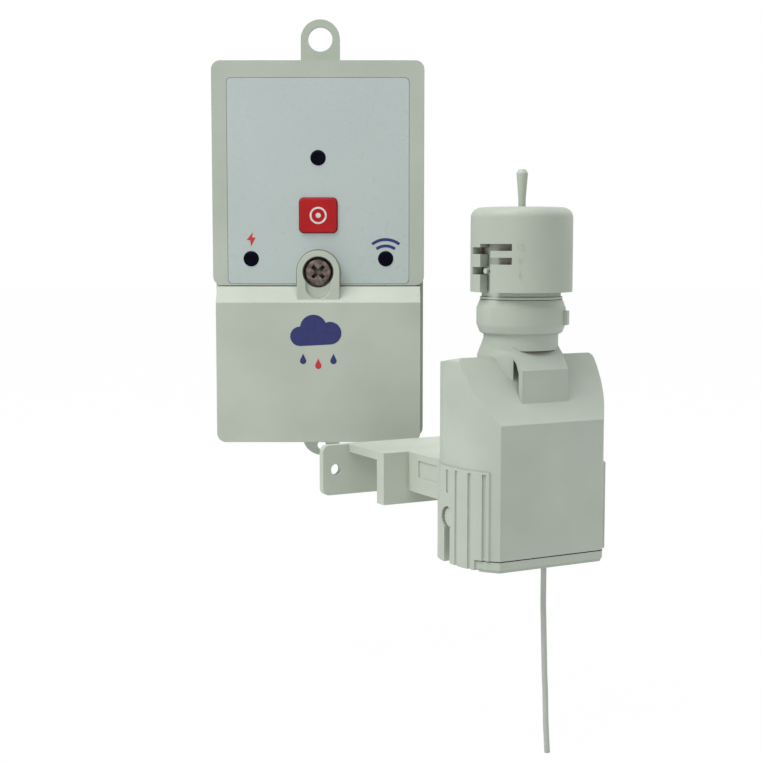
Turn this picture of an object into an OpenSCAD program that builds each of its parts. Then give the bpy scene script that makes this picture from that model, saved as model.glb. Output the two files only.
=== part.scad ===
// Wireless rain sensor set in millimetres.
// A wall receiver stands behind an outdoor sensor head on its gutter bracket.
// Origin: centre of the receiver's hanging hole on the wall plane.
// +X right, +Y into the wall, +Z up.

/* [Receiver case] */
// Width of the receiver case
case_w = 69.7; // [66:0.1:76]
// Height of the receiver case
case_h = 125; // [120:0.5:135]
// Depth of the rear case from the wall
rear_depth = 14; // [13:0.5:18]
// Depth of the front case ahead of the rear case
front_depth = 9.5; // [8.5:0.5:12]
// Wall thickness of both receiver cases
case_wall = 2; // [1.6:0.1:2.4]
// Corner radius of the case outline
case_corner_r = 3; // [2:0.5:5]

/* [Mounting tabs] */
// Width of the upper and lower tabs
tab_w = 13.3; // [12:0.1:16]
// Thickness of the tabs
tab_t = 2.5; // [2:0.1:3]
// Radius of the hanging hole in the upper tab
hang_hole_r = 4.15; // [3:0.05:4.5]
// Height of the hanging hole above the case
hang_rise = 9.6; // [8:0.1:12]
// Radius of the fixing hole in the lower tab
fix_hole_r = 1.6; // [1.5:0.05:1.8]
// Distance of the fixing hole below the case
fix_drop = 4.8; // [4.5:0.1:6]
// Material left below the fixing hole's centre
fix_end = 3.2; // [3:0.1:5]

/* [Terminal cover] */
// Distance of the terminal cover's side in from the case's side
cover_in = 1.25; // [0.5:0.05:2]
// Height of the terminal cover without its arch
cover_h = 51.4; // [48:0.2:54]
// How far the cover's face stands ahead of the label face
cover_rise = 4.5; // [4:0.1:6]
// Height of the sloping band along the cover's top edge
cover_bevel_h = 5.2; // [4:0.1:7]
// Wall thickness of the cover
cover_wall = 2; // [1.6:0.1:2.4]
// Outer radius of the arch around the cover screw
arch_r = 7; // [6.6:0.1:8]
// Height of the screw above the cover's top edge
arch_rise = 4.8; // [4:0.1:6]
// Radius of the cover screw's head
screw_head_r = 4.6; // [4:0.1:5]
// Radius of the cover screw's shank
screw_shank_r = 1.9; // [1.5:0.1:2.2]

/* [Receiver face] */
// Distance of the label's side in from the case's side
label_in = 5; // [3:0.1:7]
// Thickness of the face label
label_t = 0.3; // [0.2:0.05:0.5]
// Distance of the label below the case top
label_drop = 5.6; // [4:0.1:8]
// Radius of the three indicator lamps
led_r = 2.45; // [2:0.05:2.6]
// Distance of the status lamp above the bypass button
status_up = 18.8; // [15:0.1:24]
// Distance of the two lower lamps above the terminal cover
lamp_up = 9.1; // [8:0.1:11.5]
// Distance of the lower lamps in from the case's side
lamp_in = 12.65; // [11:0.05:15]
// Width of the bypass button
button_w = 12.3; // [11:0.1:14]
// Height of the bypass button
button_h = 11.25; // [10:0.05:13]
// Distance of the button's centre above the terminal cover
button_up = 23.3; // [20:0.1:27]
// Travel of the bypass button
button_travel = 0.8; // [0.5:0.1:1]

/* [Sensor placing] */
// Sensor axis to the right of the hanging hole
sensor_x = 60.6; // [58:0.1:80]
// Sensor axis ahead of the wall plane
sensor_out = 90.2; // [88:0.1:120]
// Sensor base below the hanging hole
sensor_drop = 158.9; // [140:0.1:190]
// Turn of the sensor and its bracket about the vertical
sensor_turn = 28; // [20:1:30]

/* [Sensor housing] */
// Greatest width of the housing
body_w = 45.6; // [45:0.1:48]
// Distance of the flat front's edge in from the housing's side
front_in = 5.7; // [5:0.1:6.8]
// Sensor axis to the front face
axis_front = 16.6; // [16:0.1:18]
// Sensor axis to the back face
axis_back = 14; // [13.5:0.1:16]
// Radius of the bulging front sides
side_r = 18.6; // [18:0.1:20]
// Radius of the rear corners
rear_r = 14; // [13:0.1:15]
// Height of the housing's ridge
body_h = 58.3; // [57:0.1:60]
// Height of the sloping shoulder below the ridge
shoulder_h = 17.9; // [16:0.1:19]
// Slope of the shoulder from the level
shoulder_angle = 52.8; // [52:0.1:55]
// Fall of the housing's top from the ridge to the back
top_fall = 1.5; // [0.5:0.1:2]
// Radius of the housing's upper back edge
back_edge_r = 8; // [6:0.5:9]
// Radius along the housing's upper side edges
shoulder_r = 1.6; // [1:0.1:3]
// Wall thickness of the housing
body_wall = 2; // [1.6:0.1:2.2]
// Height of the ribbed lower side panels
panel_h = 27.5; // [26:0.1:29]
// How far the side panels stand proud
panel_rise = 0.6; // [0.3:0.1:0.7]
// Radius of the grip grooves in the side panels
groove_r = 0.6; // [0.4:0.05:0.7]

/* [Swivel] */
// Swivel axis behind the sensor axis
pivot_v = 1.4; // [1:0.1:2]
// Swivel axis above the housing's base
pivot_z = 12.9; // [12:0.1:14]
// Tip radius of the swivel shaft's teeth
pivot_r = 3.1; // [2.8:0.05:3.3]
// Depth of the swivel shaft's teeth
tooth_depth = 0.6; // [0.4:0.05:0.7]
// Number of teeth round the shaft
tooth_count = 18; // [12:1:20]
// Distance of the arm's side in from the housing's side
arm_in = 5.1; // [4.9:0.1:6.3]
// Height of the arm's bay above the bracket
bay_rise = 5.8; // [5.6:0.1:7]

/* [Gutter bracket] */
// Sensor axis to the face of the bracket's front lip
lip_v = 33.9; // [33:0.1:36]
// Thickness of the front lip
lip_t = 4.4; // [3.5:0.1:5]
// Width of the gutter slot
slot_gap = 18.7; // [17:0.1:21]
// Thickness of the back plate and top web
plate_t = 2.5; // [2:0.1:3]
// Height of the bracket's bottom above the housing's base
bracket_low = 11.3; // [10:0.1:12]
// Height of the bracket
bracket_h = 15.8; // [14:0.1:17]
// Left end of the back plate from the sensor axis
plate_left = 35.4; // [34:0.1:35.4]
// Left end of the front lip from the sensor axis
lip_left = 26.3; // [24:0.1:28]
// Right end of the bracket from the sensor axis
bracket_right = 21; // [19:0.5:24]
// Radius of the screw hole in the back plate
plate_hole_r = 1.8; // [1.5:0.05:2.2]
// Screw hole in from the plate's left end
plate_hole_in = 4.6; // [4.4:0.1:6]
// Height of the arm's lower edge above the housing's base
arm_low = 15.2; // [14.5:0.1:16]
// Thickness of the arm's cheeks
cheek_t = 2.5; // [2:0.1:3]

/* [Sensor head] */
// Height of the pedestal's top above the housing's ridge
pedestal_rise = 6.2; // [5.7:0.1:8]
// Radius of the pedestal
pedestal_r = 10.65; // [10.4:0.05:11]
// Radius of the pedestal's flared foot
pedestal_foot_r = 11.9; // [11.5:0.1:12.2]
// Width of the hood in front of the pedestal
strap_w = 15.4; // [13:0.1:16]
// Wall thickness of the hood
strap_t = 1.8; // [1.5:0.1:2]
// Hood face ahead of the sensor axis
strap_out = 12.6; // [12.4:0.1:13]
// Radius of the neck sleeve
neck_r = 11.25; // [11:0.05:11.4]
// Height of the neck's rim above the pedestal
neck_rise = 27.5; // [26:0.5:28.5]
// Wall thickness of the neck sleeve
neck_wall = 1.35; // [1.2:0.05:1.5]
// Outer radius of the vent ring
ring_r = 12.7; // [12.5:0.05:13.2]
// Height of the vent ring
ring_h = 9.3; // [9:0.1:9.6]
// Outer radius of the cap
cap_r = 14.5; // [14:0.1:15]
// Height of the cap
cap_h = 23.8; // [23:0.1:25]
// Height of the cap's lower rim above the pedestal
cap_rise = 11.8; // [11.5:0.1:12.5]
// Radius of the cap's upper edge
cap_round = 3; // [2:0.1:4]
// Radius of the guide pin in the cap's channel
pin_r = 0.75; // [0.6:0.05:0.9]
// Height of the guide pin above the cap's lower rim
pin_rise = 6; // [5.5:0.1:6.5]
// Number of moisture discs
disc_count = 8; // [6:1:10]

/* [Spindle and antenna] */
// Radius of the spindle's shaft
spindle_r = 1.05; // [0.9:0.05:1.2]
// Height of the spindle's tip above the cap
spindle_rise = 10.7; // [8:0.1:14]
// Radius of the spindle's flared head
spindle_head_r = 1.65; // [1.4:0.05:1.8]
// Travel of the spindle when its tip is pressed
spindle_travel = 2.5; // [1.5:0.1:2.5]
// Radius of the hanging antenna wire
wire_r = 0.82; // [0.6:0.02:1]

/* [Hidden] */
$fn = 72;

// Clearances and the overrun of every cut
eps = 0.5;
part_gap = 0.3;
run_gap = 0.08;
slip_gap = 0.2;

// Receiver levels, all below the hanging hole
case_top = -hang_rise;
case_bottom = case_top - case_h;
face_y = -rear_depth - front_depth;
cover_y = face_y - cover_rise;
cover_top = case_bottom + cover_h;
front_bottom = cover_top + part_gap;
screw_z = cover_top + arch_rise;
fix_z = case_bottom - fix_drop;
button_z = cover_top + button_up;
status_z = button_z + status_up;
lamp_z = cover_top + lamp_up;
cover_w = case_w - 2 * cover_in;
label_w = case_w - 2 * label_in;
lamp_x = case_w / 2 - lamp_in;
label_top = case_top - label_drop;
label_bottom = front_bottom + 2 * label_t;
label_corner_r = 1.6;

// Case screws and their posts
case_post_r = 3;
case_post_x = case_w / 2 - case_wall - case_post_r - part_gap;
case_post_top = case_top - case_wall - case_post_r - part_gap;
case_post_low = front_bottom + case_wall + case_post_r + part_gap;
case_boss_h = 6;
case_screw_r = 1.4;
case_screw_head_r = 2.5;
case_screw_head_t = 1.6;
case_screw_len = 13;
case_boss_r = case_screw_head_r + case_wall;

// Seal between the two cases
seal_w = 0.9;
seal_t = 0.6;

// Circuit board of the receiver
board_t = 1.6;
board_in = 1.55;
board_w = 2 * (case_post_x - case_post_r - board_in);
board_stand = 4.4;
board_back = -case_wall - board_stand;
board_front = board_back - board_t;
board_top = case_top - case_wall - part_gap - board_t;
wiring_h = 22;
board_bottom = case_bottom + wiring_h;
board_corner_r = 1.5;
stand_r = 2.6;
stand_in = 4;
stand_x = board_w / 2 - stand_in;
stand_low = board_bottom + stand_in;
stand_top = board_top - stand_in;
stand_screw_r = 0.95;
stand_screw_head_r = 2;
stand_screw_head_t = 1.3;
stand_screw_len = 4;

// Lamps
led_flange_r = 2.9;
led_flange_t = 1;
led_body_l = 8.6;
led_leg_r = 0.3;
led_leg_pitch = 2.54;
led_dome = 0.35;

// Bypass button with its switch
button_rise = 0.9;
button_skirt_t = 1;
button_skirt = 1.2;
button_stem_r = 2;
button_corner_r = 1.4;
tact_w = 6;
tact_t = 3.5;
tact_plunger_r = 1.7;
tact_plunger_rise = 0.9;
tact_floor_t = 0.9;
tact_gap = 0.06;

// Relay, capacitor and aerial
relay_w = 19;
relay_h = 15.5;
relay_t = 10;
relay_in = 1.5;
relay_drop = 15.6;
relay_x = board_w / 2 - relay_w / 2 - relay_in;
relay_z = board_top - relay_drop;
relay_edge_r = 0.8;
cap_body_r = 5;
cap_body_l = 10.5;
cap_body_in = 10;
cap_body_drop = 17.6;
cap_body_x = -board_w / 2 + cap_body_in;
cap_body_z = board_top - cap_body_drop;
cap_rim_t = 1;
cap_groove = 0.4;
aerial_r = 0.6;
aerial_in = 7;
aerial_stand = 5;
aerial_drop = 3;
aerial_w = board_w - 2 * aerial_in;
aerial_y = board_front - aerial_stand;
aerial_z = board_top - aerial_drop;

// Terminal block
ways = 5;
way_pitch = 7.62;
block_h = 12;
block_t = 10.5;
block_up = 14;
block_z = board_bottom + block_up;
block_wall = 1.2;
way_hole_r = 1.9;
term_head_r = 2;
term_head_t = 1.2;
term_slot_w = 0.6;
term_slot_d = 0.6;

// Cover screw in its arch
arch_t = 3.5;
pocket_depth = 2.4;
pocket_air = 0.5;
pocket_r = screw_head_r + pocket_air;
pocket_tail_r = 4.1;
pocket_tail_depth = 1;
screw_head_t = 2;
screw_len = 9;
screw_bevel = 0.7;
cross_w = 1.2;
cross_l = 5.4;
cross_d = 1.3;
screw_boss_r = 4.2;

// Cable grommet in the receiver's underside
grommet_x = 17;
grommet_shift = 0.6;
grommet_y = -rear_depth / 2 - grommet_shift;
grommet_hole_r = 2.6;
grommet_r = 4;
grommet_flange_r = 5.2;
grommet_flange_t = 1.2;

// Housing outline, derived
front_w = body_w - 2 * front_in;
crease_h = body_h - shoulder_h;
side_cu = body_w / 2 - side_r;
side_cv = -axis_front + sqrt(side_r * side_r - pow(front_w / 2 - side_cu, 2));
rear_cu = body_w / 2 - rear_r;
rear_reach = 11.3;
rear_cv = axis_back - rear_reach;
base_z = -sensor_drop;
slope_run = (body_h - crease_h) / tan(shoulder_angle);
slope_back = -axis_front + slope_run;
top_back_h = body_h - top_fall;
function top_at(v) = body_h - top_fall * (v - slope_back) / (axis_back - back_edge_r - slope_back);
arm_half_w = body_w / 2 - arm_in;
bay_side = arm_half_w + 2 * part_gap;
bay_h = bracket_low + bracket_h + bay_rise;
bay_ahead = 5;
bay_front = pivot_v - bay_ahead;
partition_t = 1.6;
front_bay_back = bay_front - partition_t;
socket_r = pivot_r + run_gap;
entry_w = 3;
groove_vs = [-13.4, -9, -3.4];
groove_top_end = 0.6;
short_groove_low = 20;
short_groove_high = 26.5;

// Base cover
base_t = 2.6;
base_drop = 0.4;
base_flange_back = -10.7;
base_in = 0.9;
base_inner_half = bay_side - base_in;
base_plug_h = 3.4;
base_plug_t = 1.2;
lip_bevel = 0.8;
seal_ring_t = 1.1;

// Transmitter board, cell and contacts
tx_t = 1.2;
tx_v = front_bay_back - slip_gap - tx_t;
tx_low = base_t + base_plug_h + slip_gap;
tx_drop = 8.3;
tx_in = 6.8;
tx_top_in = 10.8;
tx_high = body_h - tx_drop;
tx_w = body_w - 2 * tx_in;
tx_top_w = body_w - 2 * tx_top_in;
cell_r = 10;
cell_t = 3.2;
holder_t = 0.5;
holder_wall = 1;
cell_z = tx_low + cell_r + holder_wall + slip_gap;
contact_w = 4;
contact_t = 0.3;

// Microswitch under the spindle
switch_w = 12.8;
switch_drop = 13.8;
switch_low = body_h - switch_drop;
switch_h = 6.6;
switch_back = 3.2;
switch_bore_r = 1.3;
plunger_r = 1.2;
plunger_rise = 2;
plunger_top = switch_low + switch_h + plunger_rise;
plunger_l = 5.4;

// Antenna exit in the housing's boss
exit_u = 0.5;
exit_v = -12;
exit_boss_r = 2.7;
exit_boss_h = 7;
ferrule_r = 1.5;
ferrule_tip_r = 1.15;
ferrule_low = -1.2;
ferrule_top = 6;

// Pedestal and neck
pedestal_bore_r = 8.6;
pedestal_floor_t = 1.2;
spindle_way_r = 2.2;
foot_shift = 1;
foot_top_r = pedestal_r - foot_shift;
pedestal_top = body_h + pedestal_rise;
neck_top = pedestal_top + neck_rise;
strap_face_drop = 3.5;
strap_bend_v = -10.4;
strap_bend_rise = 0.1;
strap_root_rise = 3.4;
strap_root_v = -6.9;
strap_face_top = body_h - strap_face_drop;
strap_bend_z = body_h + strap_bend_rise;
strap_root_z = body_h + strap_root_rise;
window_top = strap_root_z - strap_t + run_gap;
window_back = -4;
ped_screw_x = 7.1;
ped_screw_r = 0.8;
ped_screw_head_r = 1.4;
ped_screw_head_t = 1;
ped_screw_seat = top_at(ped_screw_head_r) - body_wall - part_gap;
neck_spigot_r = pedestal_bore_r - slip_gap;
neck_spigot_low = body_h + pedestal_floor_t + part_gap;
neck_spigot_wall = 1.5;
neck_floor_t = 1.5;
neck_step_t = 1.7;
neck_lip_r = 11.7;
neck_lip_z = pedestal_top + part_gap + ring_h + slip_gap;
neck_lip_t = 0.6;
neck_bore_r = neck_r - neck_wall;
vent_w = 5;
vent_low = 1;
vent_h = 5;
vent_count = 6;
vent_angle = 40;
neck_seal_r = 0.5;

// Vent ring
ring_low = pedestal_top + part_gap;
ring_bevel = 0.95;
ring_bevel_h = 2.4;
ring_bore_r = neck_r + run_gap;
ring_vents = 3;
ring_vent_angle = 10;
nub_w = 3.4;
nub_h = 4;
nub_rise = 0.9;
nub_up = 4.2;
nub_z = ring_low + nub_up;
nub_angle = -45;

// Cap and its channel
cap_bore_r = neck_r + part_gap;
cap_roof_t = 2.8;
cap_low = pedestal_top + cap_rise;
cap_top = cap_low + cap_h;
cap_ceiling = cap_top - cap_roof_t;
pin_z = cap_low + pin_rise;
channel_angle = -168;
channel_w = 4;
channel_l = 13.5;
slot_h = 1.9;
slot_pitch = 3.8;
channel_top = cap_low + channel_l;
upper_slot_z = channel_top - slot_h / 2;
middle_slot_z = upper_slot_z - slot_pitch;
slot_right_deg = 34;
slot_left_deg = 27;
slot_steps = 6;
hub_r = 6;
hub_h = 3.8;
hub_low = cap_ceiling - hub_h;
spindle_air = 0.25;
spindle_hole_r = spindle_r + spindle_air;

// Discs, cage and washers
plate_up = 4.5;
plate_low = pedestal_top + plate_up;
pressure_t = 1.5;
pressure_r = 9.2;
disc_low = plate_low + pressure_t + run_gap;
disc_r = 8.5;
disc_bore_r = 1.5;
washer_t = 1.1;
disc_top = neck_top - part_gap;
disc_pitch = (disc_top - disc_low) / disc_count;
disc_gap = 0.04;
cage_r = neck_bore_r - part_gap;
cage_wall = 0.6;
cage_flange_r = cap_bore_r - part_gap;
cage_flange_t = 1.1;
cage_slots = 8;
cage_slot_w = 3.4;

// Spindle
spindle_low = plunger_top + tact_gap;
spindle_top = cap_top + spindle_rise;
flare_l = 8.3;
flare_low = spindle_top - flare_l;
tip_h = 1.1;
plate_hub_r = 2.4;
plate_hub_h = 1.2;

// Return spring round the spindle
spring_r = 4.4;
spring_wire_r = 0.35;
spring_curls = 5;
spring_rings = 8;
spring_sides = 6;
spring_low = neck_spigot_low + neck_floor_t;
spring_air = 0.05;
spring_len = plate_low - spring_low - 2 * spring_wire_r - 2 * spring_air;

// Bracket, derived
plate_v = lip_v + lip_t + slot_gap;
plate_back_v = plate_v + plate_t;
bracket_top = bracket_low + bracket_h;
plate_hole_up = 8;
plate_hole_z = bracket_low + plate_hole_up;
plate_corner_r = 2.2;
knuckle_r = 4.2;
knuckle_angle = 63;
arm_step_v = 14;
shaft_core_r = pivot_r - tooth_depth - slip_gap;
shaft_half = body_w / 2 - slip_gap;
panel_in = 0.4;
panel_low_z = 20;
panel_high_z = 25;
panel_from_v = 17;
panel_to_v = 28;

// Antenna route from the ferrule's face, in the row's axes
WIRE_ROUTE = [[0, 0, 0], [0, 0, -3.5], [0, 0, -7], [0, 0, -10.5], [0.1, 0, -14], [0.2, 0, -17.5],
    [0.3, 0, -21], [0.4, 0, -24.5], [0.5, 0, -28], [0.6, 0, -31.5], [0.8, 0, -35],
    [0.9, 0, -38.5], [1, 0, -42], [1.1, 0, -45.5], [1.3, 0, -49], [1.5, 0, -52.5], [1.6, 0, -54]];

function unit(v) = v / norm(v);
function path_dir(p, i) = unit(p[min(i + 1, len(p) - 1)] - p[max(i - 1, 0)]);
function ring_at(c, t, ref, r, sides) =
    let (a = unit(cross(ref, t)), b = cross(t, a))
    [for (k = [0:sides - 1]) c + r * (a * cos(360 * k / sides) + b * sin(360 * k / sides))];

// A tube of equal sides swept along a path
module tube(path, r, sides, ref) {
    n = len(path);
    pts = [for (i = [0:n - 1]) each ring_at(path[i], path_dir(path, i), ref, r, sides)];
    walls = [for (i = [0:n - 2], k = [0:sides - 1], half = [0:1])
        let (a = i * sides + k, b = i * sides + (k + 1) % sides)
        half == 0 ? [a, b, b + sides] : [a, b + sides, a + sides]];
    start = [for (k = [1:sides - 2]) [0, k + 1, k]];
    finish = [for (k = [1:sides - 2]) [(n - 1) * sides, (n - 1) * sides + k, (n - 1) * sides + k + 1]];
    polyhedron(points = pts, faces = concat(walls, start, finish), convexity = 8);
}

// A flat outline with round corners, centred on the origin
module round_rect(w, h, r) {
    square([w - 2 * r, h], center = true);
    square([w, h - 2 * r], center = true);
    for (sx = [-1, 1], sy = [-1, 1])
        translate([sx * (w / 2 - r), sy * (h / 2 - r)]) circle(r);
}

// Stands an XZ outline up and gives it depth from y_back towards the viewer
module depth(y_back, t) {
    translate([0, y_back, 0]) rotate([90, 0, 0]) linear_extrude(t) children();
}

// A round bar along Y from y_back towards the viewer
module bar_y(x, z, y_back, l, r) {
    translate([x, y_back, z]) rotate([90, 0, 0]) cylinder(h = l, r = r);
}

// The sensor's own frame: origin on its axis at base level, u right, v back
module at_sensor() {
    translate([sensor_x, -sensor_out, base_z]) rotate([0, 0, sensor_turn]) children();
}

// A bar along u, centred on the sensor axis
module bar_u(v, z, half, r) {
    translate([-half, v, z]) rotate([0, 90, 0]) cylinder(h = 2 * half, r = r);
}

// Outline of the receiver between two levels
module case_outline(w, top, bottom, r) {
    translate([0, (top + bottom) / 2]) round_rect(w, top - bottom, r);
}

module case_posts(z_list, y_back, l, r) {
    for (sx = [-1, 1], z = z_list) bar_y(sx * case_post_x, z, y_back, l, r);
}

module receiver_rear_case() {
    color("#c3ccc0") difference() {
        union() {
            difference() {
                depth(0, rear_depth) case_outline(case_w, case_top, case_bottom, case_corner_r);
                depth(-case_wall, rear_depth)
                    case_outline(case_w - 2 * case_wall, case_top - case_wall,
                        case_bottom + case_wall, case_corner_r - case_wall + eps);
            }
            depth(0, tab_t) {
                circle(tab_w / 2);
                translate([-tab_w / 2, case_top - case_wall / 2]) square([tab_w, hang_rise + case_wall / 2]);
                translate([0, fix_z - fix_end + tab_w / 2]) circle(tab_w / 2);
            }
            case_posts([case_post_top, case_post_low], 0, case_boss_h, case_boss_r);
            for (sx = [-1, 1], z = [stand_low, stand_top])
                bar_y(sx * stand_x, z, -case_wall / 2, board_stand + case_wall / 2, stand_r);
        }
        bar_y(0, 0, eps, tab_t + 2 * eps, hang_hole_r);
        bar_y(0, fix_z, eps, tab_t + 2 * eps, fix_hole_r);
        case_posts([case_post_top, case_post_low], eps, case_boss_h + 2 * eps,
            case_screw_r + slip_gap);
        case_posts([case_post_top, case_post_low], eps, case_screw_head_t + slip_gap + eps,
            case_screw_head_r + slip_gap);
        for (sx = [-1, 1], z = [stand_low, stand_top])
            bar_y(sx * stand_x, z, -case_wall, board_stand + eps, stand_screw_r + run_gap);
        translate([grommet_x, grommet_y, case_bottom - eps])
            cylinder(h = case_wall + 2 * eps, r = grommet_r);
        depth(-rear_depth + seal_t, seal_t + eps) seal_outline(run_gap);
    }
}

// Outline of the seal and, with a gap, of its groove
module seal_outline(gap) {
    mid = case_wall / 2;
    difference() {
        case_outline(case_w - 2 * mid + seal_w + 2 * gap, case_top - mid + seal_w / 2 + gap,
            front_bottom + mid - seal_w / 2 - gap, case_corner_r - mid + seal_w / 2);
        case_outline(case_w - 2 * mid - seal_w - 2 * gap, case_top - mid - seal_w / 2 - gap,
            front_bottom + mid + seal_w / 2 + gap, case_corner_r - mid);
    }
}

module case_seal() {
    color("#3c3f40") intersection() {
        depth(-rear_depth + seal_t, seal_t) seal_outline(0);
        union() {
            depth(0, rear_depth) difference() {
                case_outline(case_w, case_top, case_bottom, case_corner_r);
                case_outline(case_w - 2 * case_wall, case_top - case_wall,
                    case_bottom + case_wall, case_corner_r - case_wall + eps);
            }
        }
    }
}

module receiver_front_case() {
    inner_w = case_w - 2 * case_wall;
    color("#b8c2b4") difference() {
        union() {
            difference() {
                depth(-rear_depth, front_depth)
                    case_outline(case_w, case_top, front_bottom, case_corner_r);
                depth(-rear_depth + eps, front_depth - case_wall + eps)
                    case_outline(inner_w, case_top - case_wall, front_bottom + case_wall,
                        case_corner_r - case_wall + eps);
            }
            case_posts([case_post_top, case_post_low], -case_boss_h - slip_gap,
                -face_y - case_boss_h - slip_gap - case_wall / 2, case_post_r);
            bar_y(0, screw_z, -rear_depth + slip_gap, front_depth - case_wall / 2, screw_boss_r);
            translate([-inner_w / 2 + part_gap, -rear_depth, front_bottom])
                cube([inner_w - 2 * part_gap, rear_depth + board_front - part_gap, case_wall]);
        }
        case_posts([case_post_top, case_post_low], 0, -face_y - case_wall, case_screw_r + run_gap);
        bar_y(0, screw_z, eps - rear_depth, front_depth + 2 * eps, screw_shank_r + run_gap);
        depth(face_y + label_t, label_t + eps) label_outline(slip_gap / 2);
        depth(face_y + case_wall + eps, case_wall + 2 * eps) button_outline(slip_gap);
        for (p = lamp_places())
            bar_y(p[0], p[1], face_y + case_wall + eps, case_wall + 2 * eps, led_r + run_gap);
    }
}

function lamp_places() = [[0, status_z], [-lamp_x, lamp_z], [lamp_x, lamp_z]];

module button_outline(gap) {
    translate([0, button_z])
        round_rect(button_w + 2 * gap, button_h + 2 * gap, button_corner_r + gap);
}

// Outline of the label around the arch of the cover
module label_outline(gap) {
    difference() {
        translate([0, (label_top + label_bottom) / 2])
            round_rect(label_w + 2 * gap, label_top - label_bottom + 2 * gap, label_corner_r);
        translate([0, screw_z]) circle(arch_r + part_gap - gap);
        translate([-arch_r - part_gap + gap, label_bottom - eps])
            square([2 * (arch_r + part_gap - gap), screw_z - label_bottom + eps]);
    }
}

module receiver_label() {
    color("#bccbc8") difference() {
        depth(face_y + label_t, label_t) label_outline(0);
        depth(face_y + label_t + eps, label_t + 2 * eps) button_outline(slip_gap);
        for (p = lamp_places()) bar_y(p[0], p[1], face_y + label_t + eps, label_t + 2 * eps, led_r + run_gap);
    }
}

// One indicator lamp with its two legs down to the board
module lamp(p) {
    color("#1d1d4f") {
        bar_y(p[0], p[1], face_y + led_body_l, led_body_l, led_r);
        bar_y(p[0], p[1], face_y + led_body_l, led_flange_t, led_flange_r);
        translate([p[0], face_y, p[1]]) rotate([90, 0, 0])
            cylinder(h = led_dome, r1 = led_r, r2 = led_r - led_dome);
        for (sx = [-1, 1])
            bar_y(p[0] + sx * led_leg_pitch / 2, p[1], board_front,
                board_front - face_y - led_body_l + led_flange_t / 2, led_leg_r);
    }
}

module status_led() { lamp(lamp_places()[0]); }
module power_led() { lamp(lamp_places()[1]); }
module signal_led() { lamp(lamp_places()[2]); }

tact_face = board_front - tact_t - tact_plunger_rise;

module bypass_button() {
    color("#b8202a") {
        depth(face_y + case_wall, case_wall + button_rise) button_outline(0);
        depth(face_y + case_wall + slip_gap + button_skirt_t, button_skirt_t)
            button_outline(button_skirt);
        depth(face_y + case_wall + slip_gap + button_skirt_t / 2, slip_gap + button_skirt_t / 2)
            button_outline(0);
        bar_y(0, button_z, tact_face - tact_gap, tact_face - tact_gap - face_y - case_wall,
            button_stem_r);
    }
}

module tact_switch() {
    color("#22262a") difference() {
        depth(board_front, tact_t) translate([0, button_z]) round_rect(tact_w, tact_w, tact_w / 12);
        bar_y(0, button_z, board_front - tact_floor_t, tact_t, tact_plunger_r + run_gap);
    }
}

module tact_plunger() {
    color("#8a8d90")
        bar_y(0, button_z, board_front - tact_floor_t - button_travel - part_gap,
            tact_t + tact_plunger_rise - tact_floor_t - button_travel - part_gap, tact_plunger_r);
}

module receiver_board() {
    color("#2d5a3a") difference() {
        depth(board_back, board_t) case_outline(board_w, board_top, board_bottom, board_corner_r);
        for (sx = [-1, 1], z = [stand_low, stand_top])
            bar_y(sx * stand_x, z, board_back + eps, board_t + 2 * eps, stand_screw_r + slip_gap);
    }
}

module board_screws() {
    color("#9a9a94") for (sx = [-1, 1], z = [stand_low, stand_top]) {
        bar_y(sx * stand_x, z, board_front, stand_screw_head_t, stand_screw_head_r);
        bar_y(sx * stand_x, z, board_front + stand_screw_len, stand_screw_len + stand_screw_head_t / 2,
            stand_screw_r);
    }
}

module relay() {
    color("#28384c") {
        depth(board_front, relay_t - relay_edge_r)
            translate([relay_x, relay_z]) round_rect(relay_w, relay_h, relay_edge_r);
        depth(board_front - relay_t + relay_edge_r, relay_edge_r)
            translate([relay_x, relay_z])
                round_rect(relay_w - relay_edge_r, relay_h - relay_edge_r, relay_edge_r);
    }
}

module power_capacitor() {
    color("#2a2a30") {
        bar_y(cap_body_x, cap_body_z, board_front, cap_rim_t, cap_body_r);
        bar_y(cap_body_x, cap_body_z, board_front, cap_body_l, cap_body_r - cap_groove);
        bar_y(cap_body_x, cap_body_z, board_front - 2 * cap_rim_t, cap_body_l - 2 * cap_rim_t, cap_body_r);
    }
}

module receiver_aerial() {
    color("#b5813c") {
        translate([-aerial_w / 2, aerial_y, aerial_z]) rotate([0, 90, 0])
            cylinder(h = aerial_w, r = aerial_r);
        for (sx = [-1, 1]) translate([sx * aerial_w / 2, aerial_y, aerial_z]) sphere(aerial_r);
        for (sx = [-1, 1]) bar_y(sx * aerial_w / 2, aerial_z, board_front, board_front - aerial_y, aerial_r);
    }
}

block_w = ways * way_pitch;
function way_x(i) = (i - (ways - 1) / 2) * way_pitch;

module terminal_block() {
    color("#35553f") difference() {
        depth(board_front, block_t) translate([0, block_z]) square([block_w, block_h], center = true);
        for (i = [0:ways - 1]) {
            bar_y(way_x(i), block_z + block_h / 8, board_front - block_t + term_head_t + block_wall,
                block_t, term_head_r + slip_gap);
            translate([way_x(i), board_front - block_t / 3, block_z - block_h / 2 - eps])
                cylinder(h = block_h / 2, r = way_hole_r);
        }
    }
}

module terminal_screws() {
    color("#b9b6aa") for (i = [0:ways - 1]) difference() {
        bar_y(way_x(i), block_z + block_h / 8, board_front - block_t + term_head_t + block_wall,
            term_head_t, term_head_r);
        translate([way_x(i), board_front - block_t + block_wall, block_z + block_h / 8])
            cube([2 * term_head_r + eps, 2 * term_slot_d, term_slot_w], center = true);
    }
}

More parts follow.
